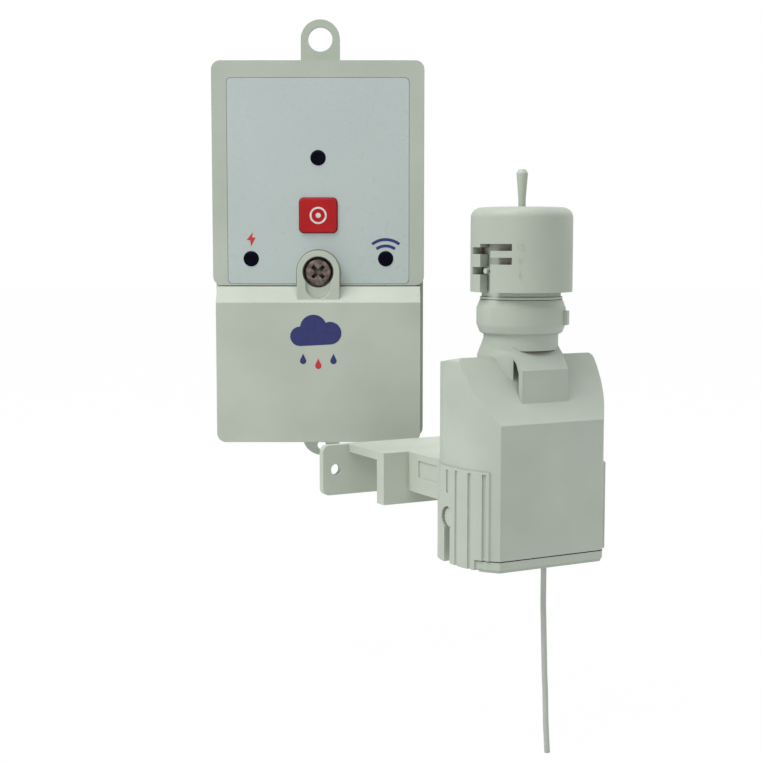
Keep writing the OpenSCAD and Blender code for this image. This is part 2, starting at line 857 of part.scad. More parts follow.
// Side outline of the terminal cover in y and z, drawn in by inset
module cover_profile(inset) {
    slope = cover_rise / cover_bevel_h;
    polygon([[-rear_depth, case_bottom + inset], [cover_y + inset, case_bottom + inset],
        [cover_y + inset, cover_top - cover_bevel_h - inset / 2],
        [face_y + inset - slope * inset / 2, cover_top - inset], [-rear_depth, cover_top - inset]]);
}

module cover_solid(inset, w, back) {
    translate([-w / 2, 0, 0]) rotate([90, 0, 90]) linear_extrude(w) {
        cover_profile(inset);
        if (back > 0) translate([-rear_depth - eps, case_bottom + inset])
            square([back + eps, cover_top - case_bottom - 2 * inset]);
    }
}

module terminal_cover() {
    color("#b4beb0") difference() {
        union() {
            difference() {
                intersection() {
                    cover_solid(0, cover_w, 0);
                    depth(0, -cover_y + eps)
                        case_outline(cover_w, cover_top + case_corner_r, case_bottom, case_corner_r);
                }
                cover_solid(cover_wall, cover_w - 2 * cover_wall, eps);
            }
            depth(face_y - slip_gap, arch_t) {
                translate([0, screw_z]) circle(arch_r);
                translate([-arch_r, cover_top - cover_bevel_h])
                    square([2 * arch_r, arch_rise + cover_bevel_h]);
            }
            depth(face_y, arch_t) translate([-arch_r, cover_top - cover_bevel_h - cover_wall])
                square([2 * arch_r, cover_bevel_h + cover_wall - part_gap]);
        }
        bar_y(0, screw_z, face_y + eps, arch_t + 2 * eps, screw_shank_r + slip_gap);
        bar_y(0, screw_z, screw_seat, pocket_depth + cover_rise, pocket_r);
        depth(screw_seat - pocket_depth + pocket_tail_depth, pocket_depth + cover_rise) {
            translate([-pocket_tail_r, cover_top]) square([2 * pocket_tail_r, arch_rise]);
            translate([0, cover_top]) circle(pocket_tail_r);
        }
    }
}

screw_seat = face_y - slip_gap - arch_t + pocket_depth;

module cover_screw() {
    color("#6d6154") difference() {
        union() {
            bar_y(0, screw_z, screw_seat, screw_head_t - screw_bevel, screw_head_r);
            translate([0, screw_seat - screw_head_t + screw_bevel, screw_z]) rotate([90, 0, 0])
                cylinder(h = screw_bevel, r1 = screw_head_r, r2 = screw_head_r - screw_bevel);
            bar_y(0, screw_z, screw_seat + screw_len, screw_len + screw_head_t / 2, screw_shank_r);
        }
        for (turn = [0, 90])
            translate([0, screw_seat - screw_head_t, screw_z]) rotate([0, turn + 45, 0])
                cube([cross_l, 2 * cross_d, cross_w], center = true);
    }
}

module cable_grommet() {
    color("#2b2d2e") translate([grommet_x, grommet_y, case_bottom + case_wall]) difference() {
        union() {
            translate([0, 0, -case_wall - grommet_flange_t])
                cylinder(h = grommet_flange_t, r = grommet_flange_r);
            translate([0, 0, -case_wall]) cylinder(h = case_wall, r = grommet_r);
            cylinder(h = grommet_flange_t, r = grommet_flange_r);
        }
        translate([0, 0, -case_wall - grommet_flange_t - eps])
            cylinder(h = case_wall + 2 * grommet_flange_t + 2 * eps, r = grommet_hole_r);
    }
}

module case_screws() {
    color("#8e8f8c") {
        case_posts([case_post_top, case_post_low], -slip_gap, case_screw_head_t, case_screw_head_r);
        case_posts([case_post_top, case_post_low], -slip_gap - case_screw_head_t / 2, case_screw_len,
            case_screw_r);
    }
}

// Plan of the housing, drawn in by inset and cut off at the level back
module body_plan(inset, back = axis_back) {
    intersection() {
        union() {
            for (su = [-1, 1]) {
                translate([su * side_cu, side_cv]) circle(side_r - inset);
                translate([su * rear_cu, rear_cv]) circle(rear_r - inset);
            }
            translate([-body_w / 2 + inset, side_cv]) square([body_w - 2 * inset, rear_cv - side_cv]);
            translate([-rear_cu, side_cv]) square([2 * rear_cu, rear_cv - side_cv + rear_r - inset]);
        }
        translate([-body_w, -axis_front + inset]) square([2 * body_w, axis_front + back - 2 * inset]);
    }
}

// Front view of the housing with its round upper edges
module body_front(w, h, r, low) {
    translate([-w / 2, low]) square([w, h - low - r]);
    translate([-w / 2 + r, h - r - eps]) square([w - 2 * r, r + eps]);
    for (su = [-1, 1]) translate([su * (w / 2 - r), h - r]) circle(r);
}

// Side view of the housing: front face, shoulder, ridge, falling top and round back edge
module body_side(inset, low) {
    rise = inset / cos(shoulder_angle) - inset * tan(shoulder_angle);
    edge_r = back_edge_r - inset;
    top_v = axis_back - back_edge_r;
    fall = inset * top_fall / (top_v - slope_back);
    polygon([[-axis_front + inset, low], [-axis_front + inset, crease_h - rise],
        [slope_back + inset * tan(shoulder_angle / 2), body_h - inset - fall],
        [top_v, top_back_h - inset], [axis_back - inset, top_back_h - back_edge_r],
        [axis_back - inset, low]]);
    translate([top_v, top_back_h - back_edge_r]) circle(edge_r);
}

// The housing's outer form from level low upwards, drawn in by inset
module body_form(inset, low) {
    intersection() {
        translate([0, 0, low]) linear_extrude(body_h - inset - low) body_plan(inset, axis_back + rear_r);
        translate([-body_w / 2, 0, 0]) rotate([90, 0, 90]) linear_extrude(body_w) body_side(inset, low);
        translate([0, axis_back, 0]) rotate([90, 0, 0]) linear_extrude(axis_front + axis_back)
            body_front(body_w - 2 * inset, body_h - inset, shoulder_r, low);
    }
}

// Space for the bracket's arm, open at the back and the underside
module arm_bay() {
    translate([-bay_side, bay_front, -eps]) cube([2 * bay_side, axis_back - bay_front + eps, bay_h + eps]);
}

function side_u(v) = v < side_cv ? side_cu + sqrt(pow(side_r + panel_rise, 2) - pow(v - side_cv, 2))
    : body_w / 2 + panel_rise;

module side_grooves() {
    for (su = [-1, 1]) {
        for (v = groove_vs) translate([su * side_u(v), v, -eps]) {
            cylinder(h = panel_h - groove_top_end + eps, r = groove_r);
        }
        translate([su * side_u(pivot_v), pivot_v, short_groove_low])
            cylinder(h = short_groove_high - short_groove_low, r = groove_r);
    }
}

module sensor_housing() {
    base_top = base_t + part_gap;
    color("#b2bcae") at_sensor() difference() {
        union() {
            body_form(0, 0);
            intersection() {
                linear_extrude(panel_h) body_plan(-panel_rise);
                translate([-body_w, -axis_front + body_wall, 0])
                    cube([2 * body_w, axis_front + axis_back - body_wall, panel_h]);
            }
        }
        difference() {
            body_form(body_wall, base_top);
            translate([-body_w, front_bay_back, -eps]) cube([2 * body_w, body_w, bay_h + partition_t + eps]);
            translate([exit_u, exit_v, 0]) cylinder(h = exit_boss_h, r = exit_boss_r);
            translate([exit_u - exit_boss_r / 2, -axis_front + body_wall / 2, 0])
                cube([exit_boss_r, exit_v + axis_front - body_wall / 2, exit_boss_h]);
        }
        arm_bay();
        translate([0, 0, -eps]) linear_extrude(base_top + eps) difference() {
            translate([-body_w, -body_w - axis_front]) square([2 * body_w, body_w + axis_front + base_flange_back]);
            translate([exit_u, exit_v]) circle(exit_boss_r);
        }
        translate([-base_inner_half - slip_gap, base_flange_back - eps, -eps])
            cube([2 * (base_inner_half + slip_gap), front_bay_back - base_flange_back + eps,
                base_top + eps]);
        bar_u(pivot_v, pivot_z, body_w, socket_r);
        translate([-body_w, pivot_v - entry_w / 2, -eps]) cube([2 * body_w, entry_w, pivot_z + eps]);
        side_grooves();
        translate([exit_u, exit_v, -eps]) cylinder(h = exit_boss_h + 2 * eps, r = ferrule_r);
        translate([0, 0, switch_low]) cylinder(h = body_h - switch_low + eps, r = spindle_way_r);
        for (su = [-1, 1]) translate([su * ped_screw_x, 0, switch_low])
            cylinder(h = body_h - switch_low + eps, r = ped_screw_r + run_gap);
    }
}

module base_plan(gap) {
    intersection() {
        body_plan(gap);
        translate([-body_w, -axis_front]) square([2 * body_w, axis_front + base_flange_back - gap]);
    }
    intersection() {
        body_plan(gap);
        translate([-base_inner_half, -axis_front])
            square([2 * base_inner_half, axis_front + front_bay_back - gap]);
    }
}

// Outline of the plug that fits inside the housing's front bay
module plug_plan(gap) {
    intersection() {
        body_plan(body_wall + slip_gap + gap);
        translate([-base_inner_half + gap, -axis_front])
            square([2 * (base_inner_half - gap), axis_front + front_bay_back - slip_gap - gap]);
    }
}

module base_cover() {
    color("#b2bcae") at_sensor() difference() {
        union() {
            translate([0, 0, lip_bevel - base_drop]) linear_extrude(base_t + base_drop - lip_bevel)
                base_plan(0);
            translate([0, 0, -base_drop]) linear_extrude(lip_bevel) base_plan(lip_bevel / 2);
            difference() {
                linear_extrude(base_t + base_plug_h) plug_plan(0);
                translate([0, 0, base_t]) linear_extrude(base_plug_h + eps) plug_plan(base_plug_t);
            }
        }
        translate([exit_u, exit_v, -base_drop - eps])
            cylinder(h = base_drop + base_t + base_plug_h + 2 * eps, r = exit_boss_r + part_gap);
        translate([exit_u - exit_boss_r / 2 - part_gap, -axis_front + body_wall / 2, base_t])
            cube([exit_boss_r + 2 * part_gap, exit_v + axis_front - body_wall / 2, base_plug_h + eps]);
        translate([0, 0, base_t]) difference() {
            linear_extrude(seal_ring_t) plug_plan(-eps);
            linear_extrude(seal_ring_t) plug_plan(base_plug_t / 2);
        }
    }
}

module base_seal() {
    color("#34383a") at_sensor() difference() {
        translate([0, 0, base_t]) linear_extrude(seal_ring_t - run_gap) difference() {
            plug_plan(-slip_gap / 2);
            plug_plan(base_plug_t / 2);
        }
        translate([exit_u, exit_v, base_t - eps])
            cylinder(h = seal_ring_t + 2 * eps, r = exit_boss_r + part_gap);
        translate([exit_u - exit_boss_r / 2 - part_gap, -axis_front, base_t - eps])
            cube([exit_boss_r + 2 * part_gap, exit_v + axis_front, seal_ring_t + 2 * eps]);
    }
}

module transmitter_board() {
    color("#2d5a3a") at_sensor() {
        translate([-tx_w / 2, tx_v, tx_low]) cube([tx_w, tx_t, bay_h - tx_low]);
        translate([-tx_top_w / 2, tx_v, bay_h - eps]) cube([tx_top_w, tx_t, tx_high - bay_h + eps]);
    }
}

cell_back = tx_v - holder_t;

module coin_cell() {
    color("#c9ccd0") at_sensor() {
        translate([0, cell_back, cell_z]) rotate([90, 0, 0]) cylinder(h = cell_t * 0.8, r = cell_r);
        translate([0, cell_back - cell_t * 0.8, cell_z]) rotate([90, 0, 0])
            cylinder(h = cell_t * 0.2, r = cell_r * 0.88);
    }
}

module battery_holder() {
    color("#2a2d30") at_sensor() difference() {
        union() {
            translate([0, tx_v, cell_z]) rotate([90, 0, 0])
                cylinder(h = holder_t + cell_t * 0.8, r = cell_r + slip_gap + holder_wall);
        }
        translate([0, cell_back, cell_z]) rotate([90, 0, 0]) cylinder(h = cell_t, r = cell_r + slip_gap);
        translate([-body_w / 2, tx_v - cell_t - eps, cell_z - 2 * cell_r])
            cube([body_w, cell_t + eps - run_gap, 2 * cell_r - cell_r / 2]);
        translate([-contact_w / 2, tx_v - body_w, cell_z + cell_r - contact_w])
            cube([contact_w, body_w + eps, 2 * contact_w]);
    }
}

module battery_contact() {
    face = cell_back - cell_t - contact_t;
    color("#d0b878") at_sensor() {
        translate([-contact_w / 2 + slip_gap, face, cell_z])
            cube([contact_w - 2 * slip_gap, contact_t, cell_r + 2 * holder_wall]);
        translate([-contact_w / 2 + slip_gap, face, cell_z + cell_r + 2 * holder_wall - contact_t])
            cube([contact_w - 2 * slip_gap, tx_v - face, contact_t]);
    }
}

module microswitch() {
    color("#23272b") at_sensor() difference() {
        translate([-switch_w / 2, tx_v + tx_t, switch_low])
            cube([switch_w, switch_back - tx_v - tx_t, switch_h]);
        translate([0, 0, plunger_top - plunger_l - spindle_travel - slip_gap])
            cylinder(h = switch_h, r = switch_bore_r);
        for (su = [-1, 1]) translate([su * switch_w / 3, tx_v, switch_low + switch_h / 3])
            rotate([-90, 0, 0]) cylinder(h = body_w / 2, r = plunger_r * 0.8);
    }
}

module switch_plunger() {
    color("#a8352c") at_sensor() translate([0, 0, plunger_top - plunger_l])
        cylinder(h = plunger_l, r = plunger_r);
}

module antenna_ferrule() {
    color("#a9b1a4") at_sensor() translate([exit_u, exit_v, 0]) {
        translate([0, 0, ferrule_low]) cylinder(h = -ferrule_low, r1 = ferrule_tip_r, r2 = ferrule_r - run_gap);
        cylinder(h = ferrule_top, r = ferrule_r - run_gap);
    }
}

module antenna_wire() {
    color("#a3aaa0") translate([sensor_x, -sensor_out, base_z])
        translate([exit_u * cos(sensor_turn) - exit_v * sin(sensor_turn),
            exit_u * sin(sensor_turn) + exit_v * cos(sensor_turn), ferrule_low])
            tube(WIRE_ROUTE, wire_r, 8, [0, 1, 0]);
}

// Side view of the hood: its front wall and its bent roof
module strap_profile() {
    foot = crease_h + (axis_front - strap_out - strap_t) * tan(shoulder_angle);
    polygon([[-strap_out, foot - strap_t], [-strap_out, strap_face_top], [strap_bend_v, strap_bend_z],
        [strap_root_v, strap_root_z], [strap_root_v + strap_t, strap_root_z],
        [strap_root_v + strap_t, strap_root_z - strap_t], [strap_bend_v + strap_t / 2, strap_bend_z - strap_t],
        [-strap_out + strap_t, strap_face_top - strap_t / 2], [-strap_out + strap_t, foot - strap_t]]);
}

module head_pedestal() {
    color("#b2bcae") at_sensor() difference() {
        union() {
            difference() {
                union() {
                    translate([0, 0, crease_h]) cylinder(h = pedestal_top - crease_h, r = pedestal_r);
                    translate([0, foot_shift, body_h])
                        cylinder(h = pedestal_top - body_h, r1 = pedestal_foot_r, r2 = foot_top_r);
                    translate([0, foot_shift, crease_h])
                        cylinder(h = body_h - crease_h, r = pedestal_foot_r);
                }
                translate([-strap_w / 2, -body_w, crease_h])
                    cube([strap_w, body_w + window_back, window_top - crease_h]);
            }
            translate([-strap_w / 2, 0, 0]) rotate([90, 0, 90]) linear_extrude(strap_w) strap_profile();
        }
        body_form(0, 0);
        translate([0, 0, body_h + pedestal_floor_t])
            cylinder(h = pedestal_top - body_h, r = pedestal_bore_r);
        translate([0, 0, crease_h]) cylinder(h = body_h, r = spindle_way_r);
        for (su = [-1, 1]) translate([su * ped_screw_x, 0, body_h - top_fall])
            cylinder(h = top_fall + pedestal_floor_t + eps, r = ped_screw_r + run_gap);
    }
}

// Two screws from inside the housing into the pedestal's floor
module pedestal_screws() {
    color("#8e8f8c") at_sensor() for (su = [-1, 1])
        translate([su * ped_screw_x, 0, ped_screw_seat - ped_screw_head_t]) {
            cylinder(h = ped_screw_head_t, r = ped_screw_head_r);
            cylinder(h = body_h + pedestal_floor_t - ped_screw_seat + ped_screw_head_t, r = ped_screw_r);
        }
}

module neck_sleeve() {
    color("#b6c0b2") at_sensor() difference() {
        union() {
            translate([0, 0, neck_spigot_low]) cylinder(h = neck_top - neck_spigot_low, r = neck_spigot_r);
            translate([0, 0, pedestal_top]) cylinder(h = neck_top - pedestal_top, r = neck_r);
            translate([0, 0, neck_lip_z]) cylinder(h = neck_lip_t, r = neck_lip_r);
            rotate([0, 0, channel_angle]) translate([neck_bore_r + neck_wall / 2, 0, pin_z])
                rotate([0, 90, 0]) cylinder(h = cap_r - neck_bore_r - neck_wall / 2 - slip_gap, r = pin_r);
        }
        translate([0, 0, pedestal_top + neck_step_t]) cylinder(h = neck_top, r = neck_bore_r);
        translate([0, 0, neck_spigot_low + neck_floor_t])
            cylinder(h = neck_top, r = neck_spigot_r - neck_spigot_wall);
        translate([0, 0, neck_spigot_low - eps]) cylinder(h = neck_top, r = spindle_r + run_gap);
        for (i = [0:vent_count - 1]) rotate([0, 0, vent_angle + i * 360 / vent_count])
            translate([0, -vent_w / 2, pedestal_top + neck_step_t + vent_low])
                cube([2 * neck_r, vent_w, vent_h]);
        translate([0, 0, pedestal_top - 2 * neck_seal_r]) rotate_extrude()
            translate([neck_spigot_r - neck_seal_r / 2, 0]) circle(neck_seal_r);
    }
}

module neck_seal() {
    color("#2b2d2e") at_sensor() translate([0, 0, pedestal_top - 2 * neck_seal_r]) rotate_extrude()
        translate([neck_spigot_r - neck_seal_r / 2, 0]) circle(neck_seal_r - run_gap);
}

module vent_ring() {
    color("#b6c0b2") at_sensor() difference() {
        union() {
            translate([0, 0, ring_low]) rotate_extrude() polygon([[ring_bore_r, 0],
                [ring_r - ring_bevel, 0], [ring_r, ring_bevel_h], [ring_r, ring_h - ring_bevel_h],
                [ring_r - ring_bevel, ring_h], [ring_bore_r, ring_h]]);
            rotate([0, 0, nub_angle]) translate([ring_r - nub_rise, -nub_w / 2, nub_z - nub_h / 2])
                cube([2 * nub_rise, nub_w, nub_h]);
        }
        for (i = [0:ring_vents - 1]) rotate([0, 0, ring_vent_angle + i * 360 / vent_count])
            translate([0, -vent_w / 2, ring_low + ring_bevel_h + slip_gap])
                cube([2 * ring_r, vent_w, ring_h - 2 * ring_bevel_h - 2 * slip_gap]);
    }
}

spring_path = [for (i = [0:spring_curls * spring_rings])
    let (a = 360 * i / spring_rings)
    [spring_r * cos(a), spring_r * sin(a), spring_low + spring_wire_r + spring_air
        + spring_len * i / (spring_curls * spring_rings)]];

// Least gap between one turn of the spring and the next
spring_gap = min([for (i = [0:len(spring_path) - 1 - spring_rings])
    norm(spring_path[i + spring_rings] - spring_path[i])]) - 2 * spring_wire_r;
echo(spring_gap_mm = spring_gap);

module return_spring() {
    color("#a9adb0") at_sensor() tube(spring_path, spring_wire_r, spring_sides, [0, 0, 1]);
}

module disc_cage() {
    color("#dfe3da") at_sensor() difference() {
        union() {
            translate([0, 0, disc_low]) cylinder(h = neck_top - disc_low + run_gap, r = cage_r);
            translate([0, 0, neck_top + run_gap]) cylinder(h = cage_flange_t, r = cage_flange_r);
        }
        translate([0, 0, disc_low - eps]) cylinder(h = cap_h, r = cage_r - cage_wall);
        for (i = [0:cage_slots - 1]) rotate([0, 0, (i + 0.5) * 360 / cage_slots])
            translate([0, -cage_slot_w / 2, disc_low + 2 * washer_t])
                cube([neck_r, cage_slot_w, neck_top - disc_low - 4 * washer_t]);
    }
}

module moisture_discs() {
    color("#b08d63") at_sensor() for (i = [0:disc_count - 1])
        translate([0, 0, disc_low + i * disc_pitch + disc_gap]) difference() {
            cylinder(h = disc_pitch - disc_gap, r = disc_r);
            translate([0, 0, -eps]) cylinder(h = disc_pitch + 2 * eps, r = disc_bore_r);
        }
}

module top_washer() {
    color("#d8dcd2") at_sensor() translate([0, 0, disc_top + disc_gap]) difference() {
        cylinder(h = washer_t, r = disc_r);
        translate([0, 0, -eps]) cylinder(h = washer_t + 2 * eps, r = disc_bore_r);
    }
}

// A wedge of the cap's wall for a slot, from one angle to another
module wall_slot(from_deg, to_deg, z, h) {
    translate([0, 0, z - h / 2]) linear_extrude(h)
        polygon(concat([[0, 0]], [for (i = [0:slot_steps])
            let (a = channel_angle + from_deg + (to_deg - from_deg) * i / slot_steps)
            2 * cap_r * [cos(a), sin(a)]]));
}

module sensor_cap() {
    color("#b0baab") at_sensor() difference() {
        union() {
            difference() {
                rotate_extrude() {
                    translate([0, cap_low]) square([cap_r, cap_h - cap_round]);
                    translate([0, cap_low]) square([cap_r - cap_round, cap_h]);
                    translate([cap_r - cap_round, cap_top - cap_round]) intersection() {
                        circle(cap_round);
                        square(cap_round);
                    }
                }
                translate([0, 0, cap_low - eps]) cylinder(h = cap_ceiling - cap_low + eps, r = cap_bore_r);
                rotate([0, 0, channel_angle]) translate([0, -channel_w / 2, cap_low - eps])
                    cube([2 * cap_r, channel_w, channel_top - cap_low + eps]);
                wall_slot(0, slot_right_deg, upper_slot_z, slot_h);
                wall_slot(0, slot_right_deg, middle_slot_z, slot_h);
                wall_slot(-slot_left_deg, 0, (upper_slot_z + middle_slot_z) / 2 + slot_h / 2, slot_h);
                wall_slot(-slot_left_deg, 0, pin_z, slot_h + slip_gap);
            }
            translate([0, 0, hub_low]) cylinder(h = cap_ceiling - hub_low + eps, r = hub_r);
        }
        translate([0, 0, hub_low - eps]) cylinder(h = cap_h, r = spindle_hole_r);
    }
}

module spindle() {
    color("#aeb7a8") at_sensor() {
        translate([0, 0, spindle_low]) cylinder(h = flare_low - spindle_low, r = spindle_r);
        translate([0, 0, flare_low])
            cylinder(h = spindle_top - tip_h - flare_low, r1 = spindle_r, r2 = spindle_head_r);
        translate([0, 0, spindle_top - tip_h]) cylinder(h = tip_h, r1 = spindle_head_r, r2 = spindle_r);
    }
}

module pressure_plate() {
    color("#d8dcd2") at_sensor() translate([0, 0, plate_low]) difference() {
        union() {
            cylinder(h = pressure_t, r = pressure_r);
            translate([0, 0, -plate_hub_h]) cylinder(h = plate_hub_h, r = plate_hub_r);
        }
        translate([0, 0, -plate_hub_h - eps]) cylinder(h = pressure_t + plate_hub_h + 2 * eps, r = spindle_r);
    }
}

// Side outline of one cheek of the bracket's arm, v across and z up
module cheek_outline() {
    translate([pivot_v, pivot_z]) circle(knuckle_r);
    polygon([[pivot_v, pivot_z - knuckle_r], [arm_step_v - cheek_t, arm_low], [lip_v + eps, arm_low],
        [lip_v + eps, bracket_top], [arm_step_v, bracket_top],
        [pivot_v - knuckle_r * cos(knuckle_angle), pivot_z + knuckle_r * sin(knuckle_angle)]]);
}

module gutter_bracket() {
    color("#bcc4b6") at_sensor() difference() {
        union() {
            for (su = [-1, 1]) translate([su * (arm_half_w - cheek_t / 2) - cheek_t / 2, 0, 0])
                rotate([90, 0, 90]) linear_extrude(cheek_t) cheek_outline();
            translate([-arm_half_w, arm_step_v, bracket_top - plate_t])
                cube([2 * arm_half_w, lip_v - arm_step_v + eps, plate_t]);
            translate([-lip_left, lip_v, bracket_low])
                cube([lip_left + bracket_right, lip_t, bracket_h]);
            translate([-lip_left, lip_v, bracket_top - plate_t])
                cube([lip_left + bracket_right, lip_t + slot_gap + plate_t, plate_t]);
            translate([0, plate_back_v, 0]) rotate([90, 0, 0]) linear_extrude(plate_t)
                translate([(bracket_right - plate_left) / 2, bracket_low + bracket_h / 2])
                    round_rect(bracket_right + plate_left, bracket_h, plate_corner_r);
        }
        translate([-plate_left + plate_hole_in, plate_v - eps, plate_hole_z]) rotate([-90, 0, 0])
            cylinder(h = plate_t + 2 * eps, r = plate_hole_r);
        bar_u(pivot_v, pivot_z, body_w, shaft_core_r + run_gap / 2);
        for (su = [-1, 1]) translate([su * arm_half_w - panel_in, panel_from_v, panel_low_z])
            cube([2 * panel_in, panel_to_v - panel_from_v, panel_high_z - panel_low_z]);
    }
}

// Star outline of the swivel shaft's toothed ends
module star_outline() {
    polygon([for (k = [0:2 * tooth_count - 1])
        let (a = 180 * k / tooth_count, r = k % 2 == 0 ? pivot_r : pivot_r - tooth_depth)
        r * [cos(a), sin(a)]]);
}

module swivel_shaft() {
    tooth_l = shaft_half - arm_half_w - slip_gap;
    color("#a9b2a5") at_sensor() translate([0, pivot_v, pivot_z]) {
        translate([-arm_half_w - slip_gap, 0, 0]) rotate([0, 90, 0])
            cylinder(h = 2 * (arm_half_w + slip_gap), r = shaft_core_r);
        for (su = [-1, 1]) translate([su * (shaft_half - tooth_l / 2) - tooth_l / 2, 0, 0])
            rotate([90, 0, 90]) linear_extrude(tooth_l) star_outline();
    }
}

receiver_rear_case();
receiver_front_case();
case_seal();
receiver_label();
status_led();
power_led();
signal_led();
bypass_button();
tact_switch();
tact_plunger();
receiver_board();
board_screws();
relay();
power_capacitor();
receiver_aerial();
terminal_block();
terminal_screws();
terminal_cover();
cover_screw();
cable_grommet();
case_screws();
gutter_bracket();
swivel_shaft();
sensor_housing();
base_cover();
base_seal();
transmitter_board();
coin_cell();
battery_holder();
battery_contact();
microswitch();
switch_plunger();
antenna_ferrule();
antenna_wire();
head_pedestal();
pedestal_screws();
neck_sleeve();
neck_seal();
vent_ring();
return_spring();
disc_cage();
moisture_discs();
top_washer();
sensor_cap();
spindle();
pressure_plate();
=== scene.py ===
import math

import bpy
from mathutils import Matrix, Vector


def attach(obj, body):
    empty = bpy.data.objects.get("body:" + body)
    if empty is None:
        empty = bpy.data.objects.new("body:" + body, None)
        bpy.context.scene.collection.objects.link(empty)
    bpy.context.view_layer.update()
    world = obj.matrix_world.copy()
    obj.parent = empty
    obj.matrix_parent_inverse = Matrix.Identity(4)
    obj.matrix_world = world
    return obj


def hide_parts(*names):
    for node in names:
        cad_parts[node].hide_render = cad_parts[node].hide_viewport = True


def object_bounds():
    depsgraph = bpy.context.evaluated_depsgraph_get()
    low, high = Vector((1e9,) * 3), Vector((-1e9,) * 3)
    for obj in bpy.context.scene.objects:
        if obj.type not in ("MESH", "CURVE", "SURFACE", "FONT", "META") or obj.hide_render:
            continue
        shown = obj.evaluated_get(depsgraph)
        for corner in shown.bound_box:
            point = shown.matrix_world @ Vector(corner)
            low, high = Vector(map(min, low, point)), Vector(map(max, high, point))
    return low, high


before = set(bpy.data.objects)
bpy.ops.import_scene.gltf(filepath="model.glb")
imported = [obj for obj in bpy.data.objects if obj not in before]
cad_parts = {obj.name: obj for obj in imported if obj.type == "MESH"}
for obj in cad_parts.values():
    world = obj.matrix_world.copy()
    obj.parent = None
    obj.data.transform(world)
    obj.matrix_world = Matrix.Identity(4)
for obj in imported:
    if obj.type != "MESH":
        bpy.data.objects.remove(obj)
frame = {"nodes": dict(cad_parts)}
cad_box = [list(corner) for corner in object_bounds()]

MM = 0.001

# Camera
# It looks square on to the receiver and a little down, from half a metre, as the photograph does.
# The lens, in millimetres on a 36 mm frame, follows from the receiver's width in the photograph.
FRAME_WIDTH = 36
LENS = 68.5
CAMERA_PLACE = (0.02065, -0.504, -0.0684)
LOOKS_DOWN = 5.5
eye = bpy.data.cameras.new("eye")
eye.sensor_width = FRAME_WIDTH
eye.lens = LENS
camera = bpy.data.objects.new("camera", eye)
camera.location = CAMERA_PLACE
camera.rotation_euler = (math.radians(90 - LOOKS_DOWN), 0, 0)
bpy.context.scene.collection.objects.link(camera)
bpy.context.scene.camera = camera
bpy.context.scene.view_settings.view_transform = "Standard"


# Aerial wire under the sensor
# A 1.64 mm sheathed wire that leaves its ferrule straight down and hangs with a slight set to one side.
# It is a cut length, as the sensor is sold, closed at its end by a flat cap of sheath.
def clear_selection():
    """Leaves edit mode and deselects every object."""
    if bpy.context.object and bpy.context.object.mode != "OBJECT":
        bpy.ops.object.mode_set(mode="OBJECT")
    bpy.ops.object.select_all(action="DESELECT")


def pattern(name):
    """A new material with its shader and a place to read patterns from."""
    material = bpy.data.materials.new(name)
    material.use_nodes = True
    tree = material.node_tree
    shader = tree.nodes["Principled BSDF"]
    place = tree.nodes.new("ShaderNodeTexCoord").outputs["Object"]
    return material, tree, shader, place


def noise(tree, place, size, detail=3.0, stretch=(1, 1, 1)):
    """Cloudy noise whose features are about size metres across."""
    mapping = tree.nodes.new("ShaderNodeMapping")
    mapping.inputs["Scale"].default_value = stretch
    texture = tree.nodes.new("ShaderNodeTexNoise")
    texture.inputs["Scale"].default_value = 1 / size
    texture.inputs["Detail"].default_value = detail
    tree.links.new(place, mapping.inputs["Vector"])
    tree.links.new(mapping.outputs["Vector"], texture.inputs["Vector"])
    return texture.outputs["Fac"]


def between(tree, factor, low, high, start=0.35, stop=0.65):
    """Maps a pattern to a number between low and high."""
    spread = tree.nodes.new("ShaderNodeMapRange")
    spread.inputs["From Min"].default_value = start
    spread.inputs["From Max"].default_value = stop
    spread.inputs["To Min"].default_value = low
    spread.inputs["To Max"].default_value = high
    tree.links.new(factor, spread.inputs["Value"])
    return spread.outputs["Result"]


def blend_colours(tree, factor, dark, light):
    """Blends two colours by a pattern."""
    mix = tree.nodes.new("ShaderNodeMix")
    mix.data_type = "RGBA"
    mix.inputs["A"].default_value = (*dark, 1)
    mix.inputs["B"].default_value = (*light, 1)
    tree.links.new(factor, mix.inputs["Factor"])
    return mix.outputs["Result"]


def grain(tree, shader, height, depth):
    """Bumps the surface by a pattern, depth metres deep."""
    bump = tree.nodes.new("ShaderNodeBump")
    bump.inputs["Distance"].default_value = depth
    bump.inputs["Strength"].default_value = 1
    tree.links.new(height, bump.inputs["Height"])
    tree.links.new(bump.outputs["Normal"], shader.inputs["Normal"])


def darker_in_corners(tree, body, dark, reach, start, stop, samples=6):
    """Paints shade: turns a colour towards a dark one where other surfaces crowd it within reach metres."""
    crowding = tree.nodes.new("ShaderNodeAmbientOcclusion")
    crowding.samples = samples
    crowding.inputs["Distance"].default_value = reach
    mix = tree.nodes.new("ShaderNodeMix")
    mix.data_type = "RGBA"
    mix.inputs["A"].default_value = (*dark, 1)
    tree.links.new(between(tree, crowding.outputs["AO"], 0, 1, start, stop), mix.inputs["Factor"])
    tree.links.new(body, mix.inputs["B"])
    return mix.outputs["Result"]


CLOUD_DARKER = 0.95
CLOUD_LIGHTER = 1.04
# Painted shade in corners: its brownish tint per colour channel, and the reach within which crowding
# surfaces darken a colour.
CORNER_SHADE_TINT = (4.2, 5.4, 5.6)
CORNER_SHADE_REACH = 3 * MM
FLOW_CLOUD = 22 * MM
SHEEN_PATCH = 6 * MM
MOULD_GRAIN_DEPTH = 0.018 * MM


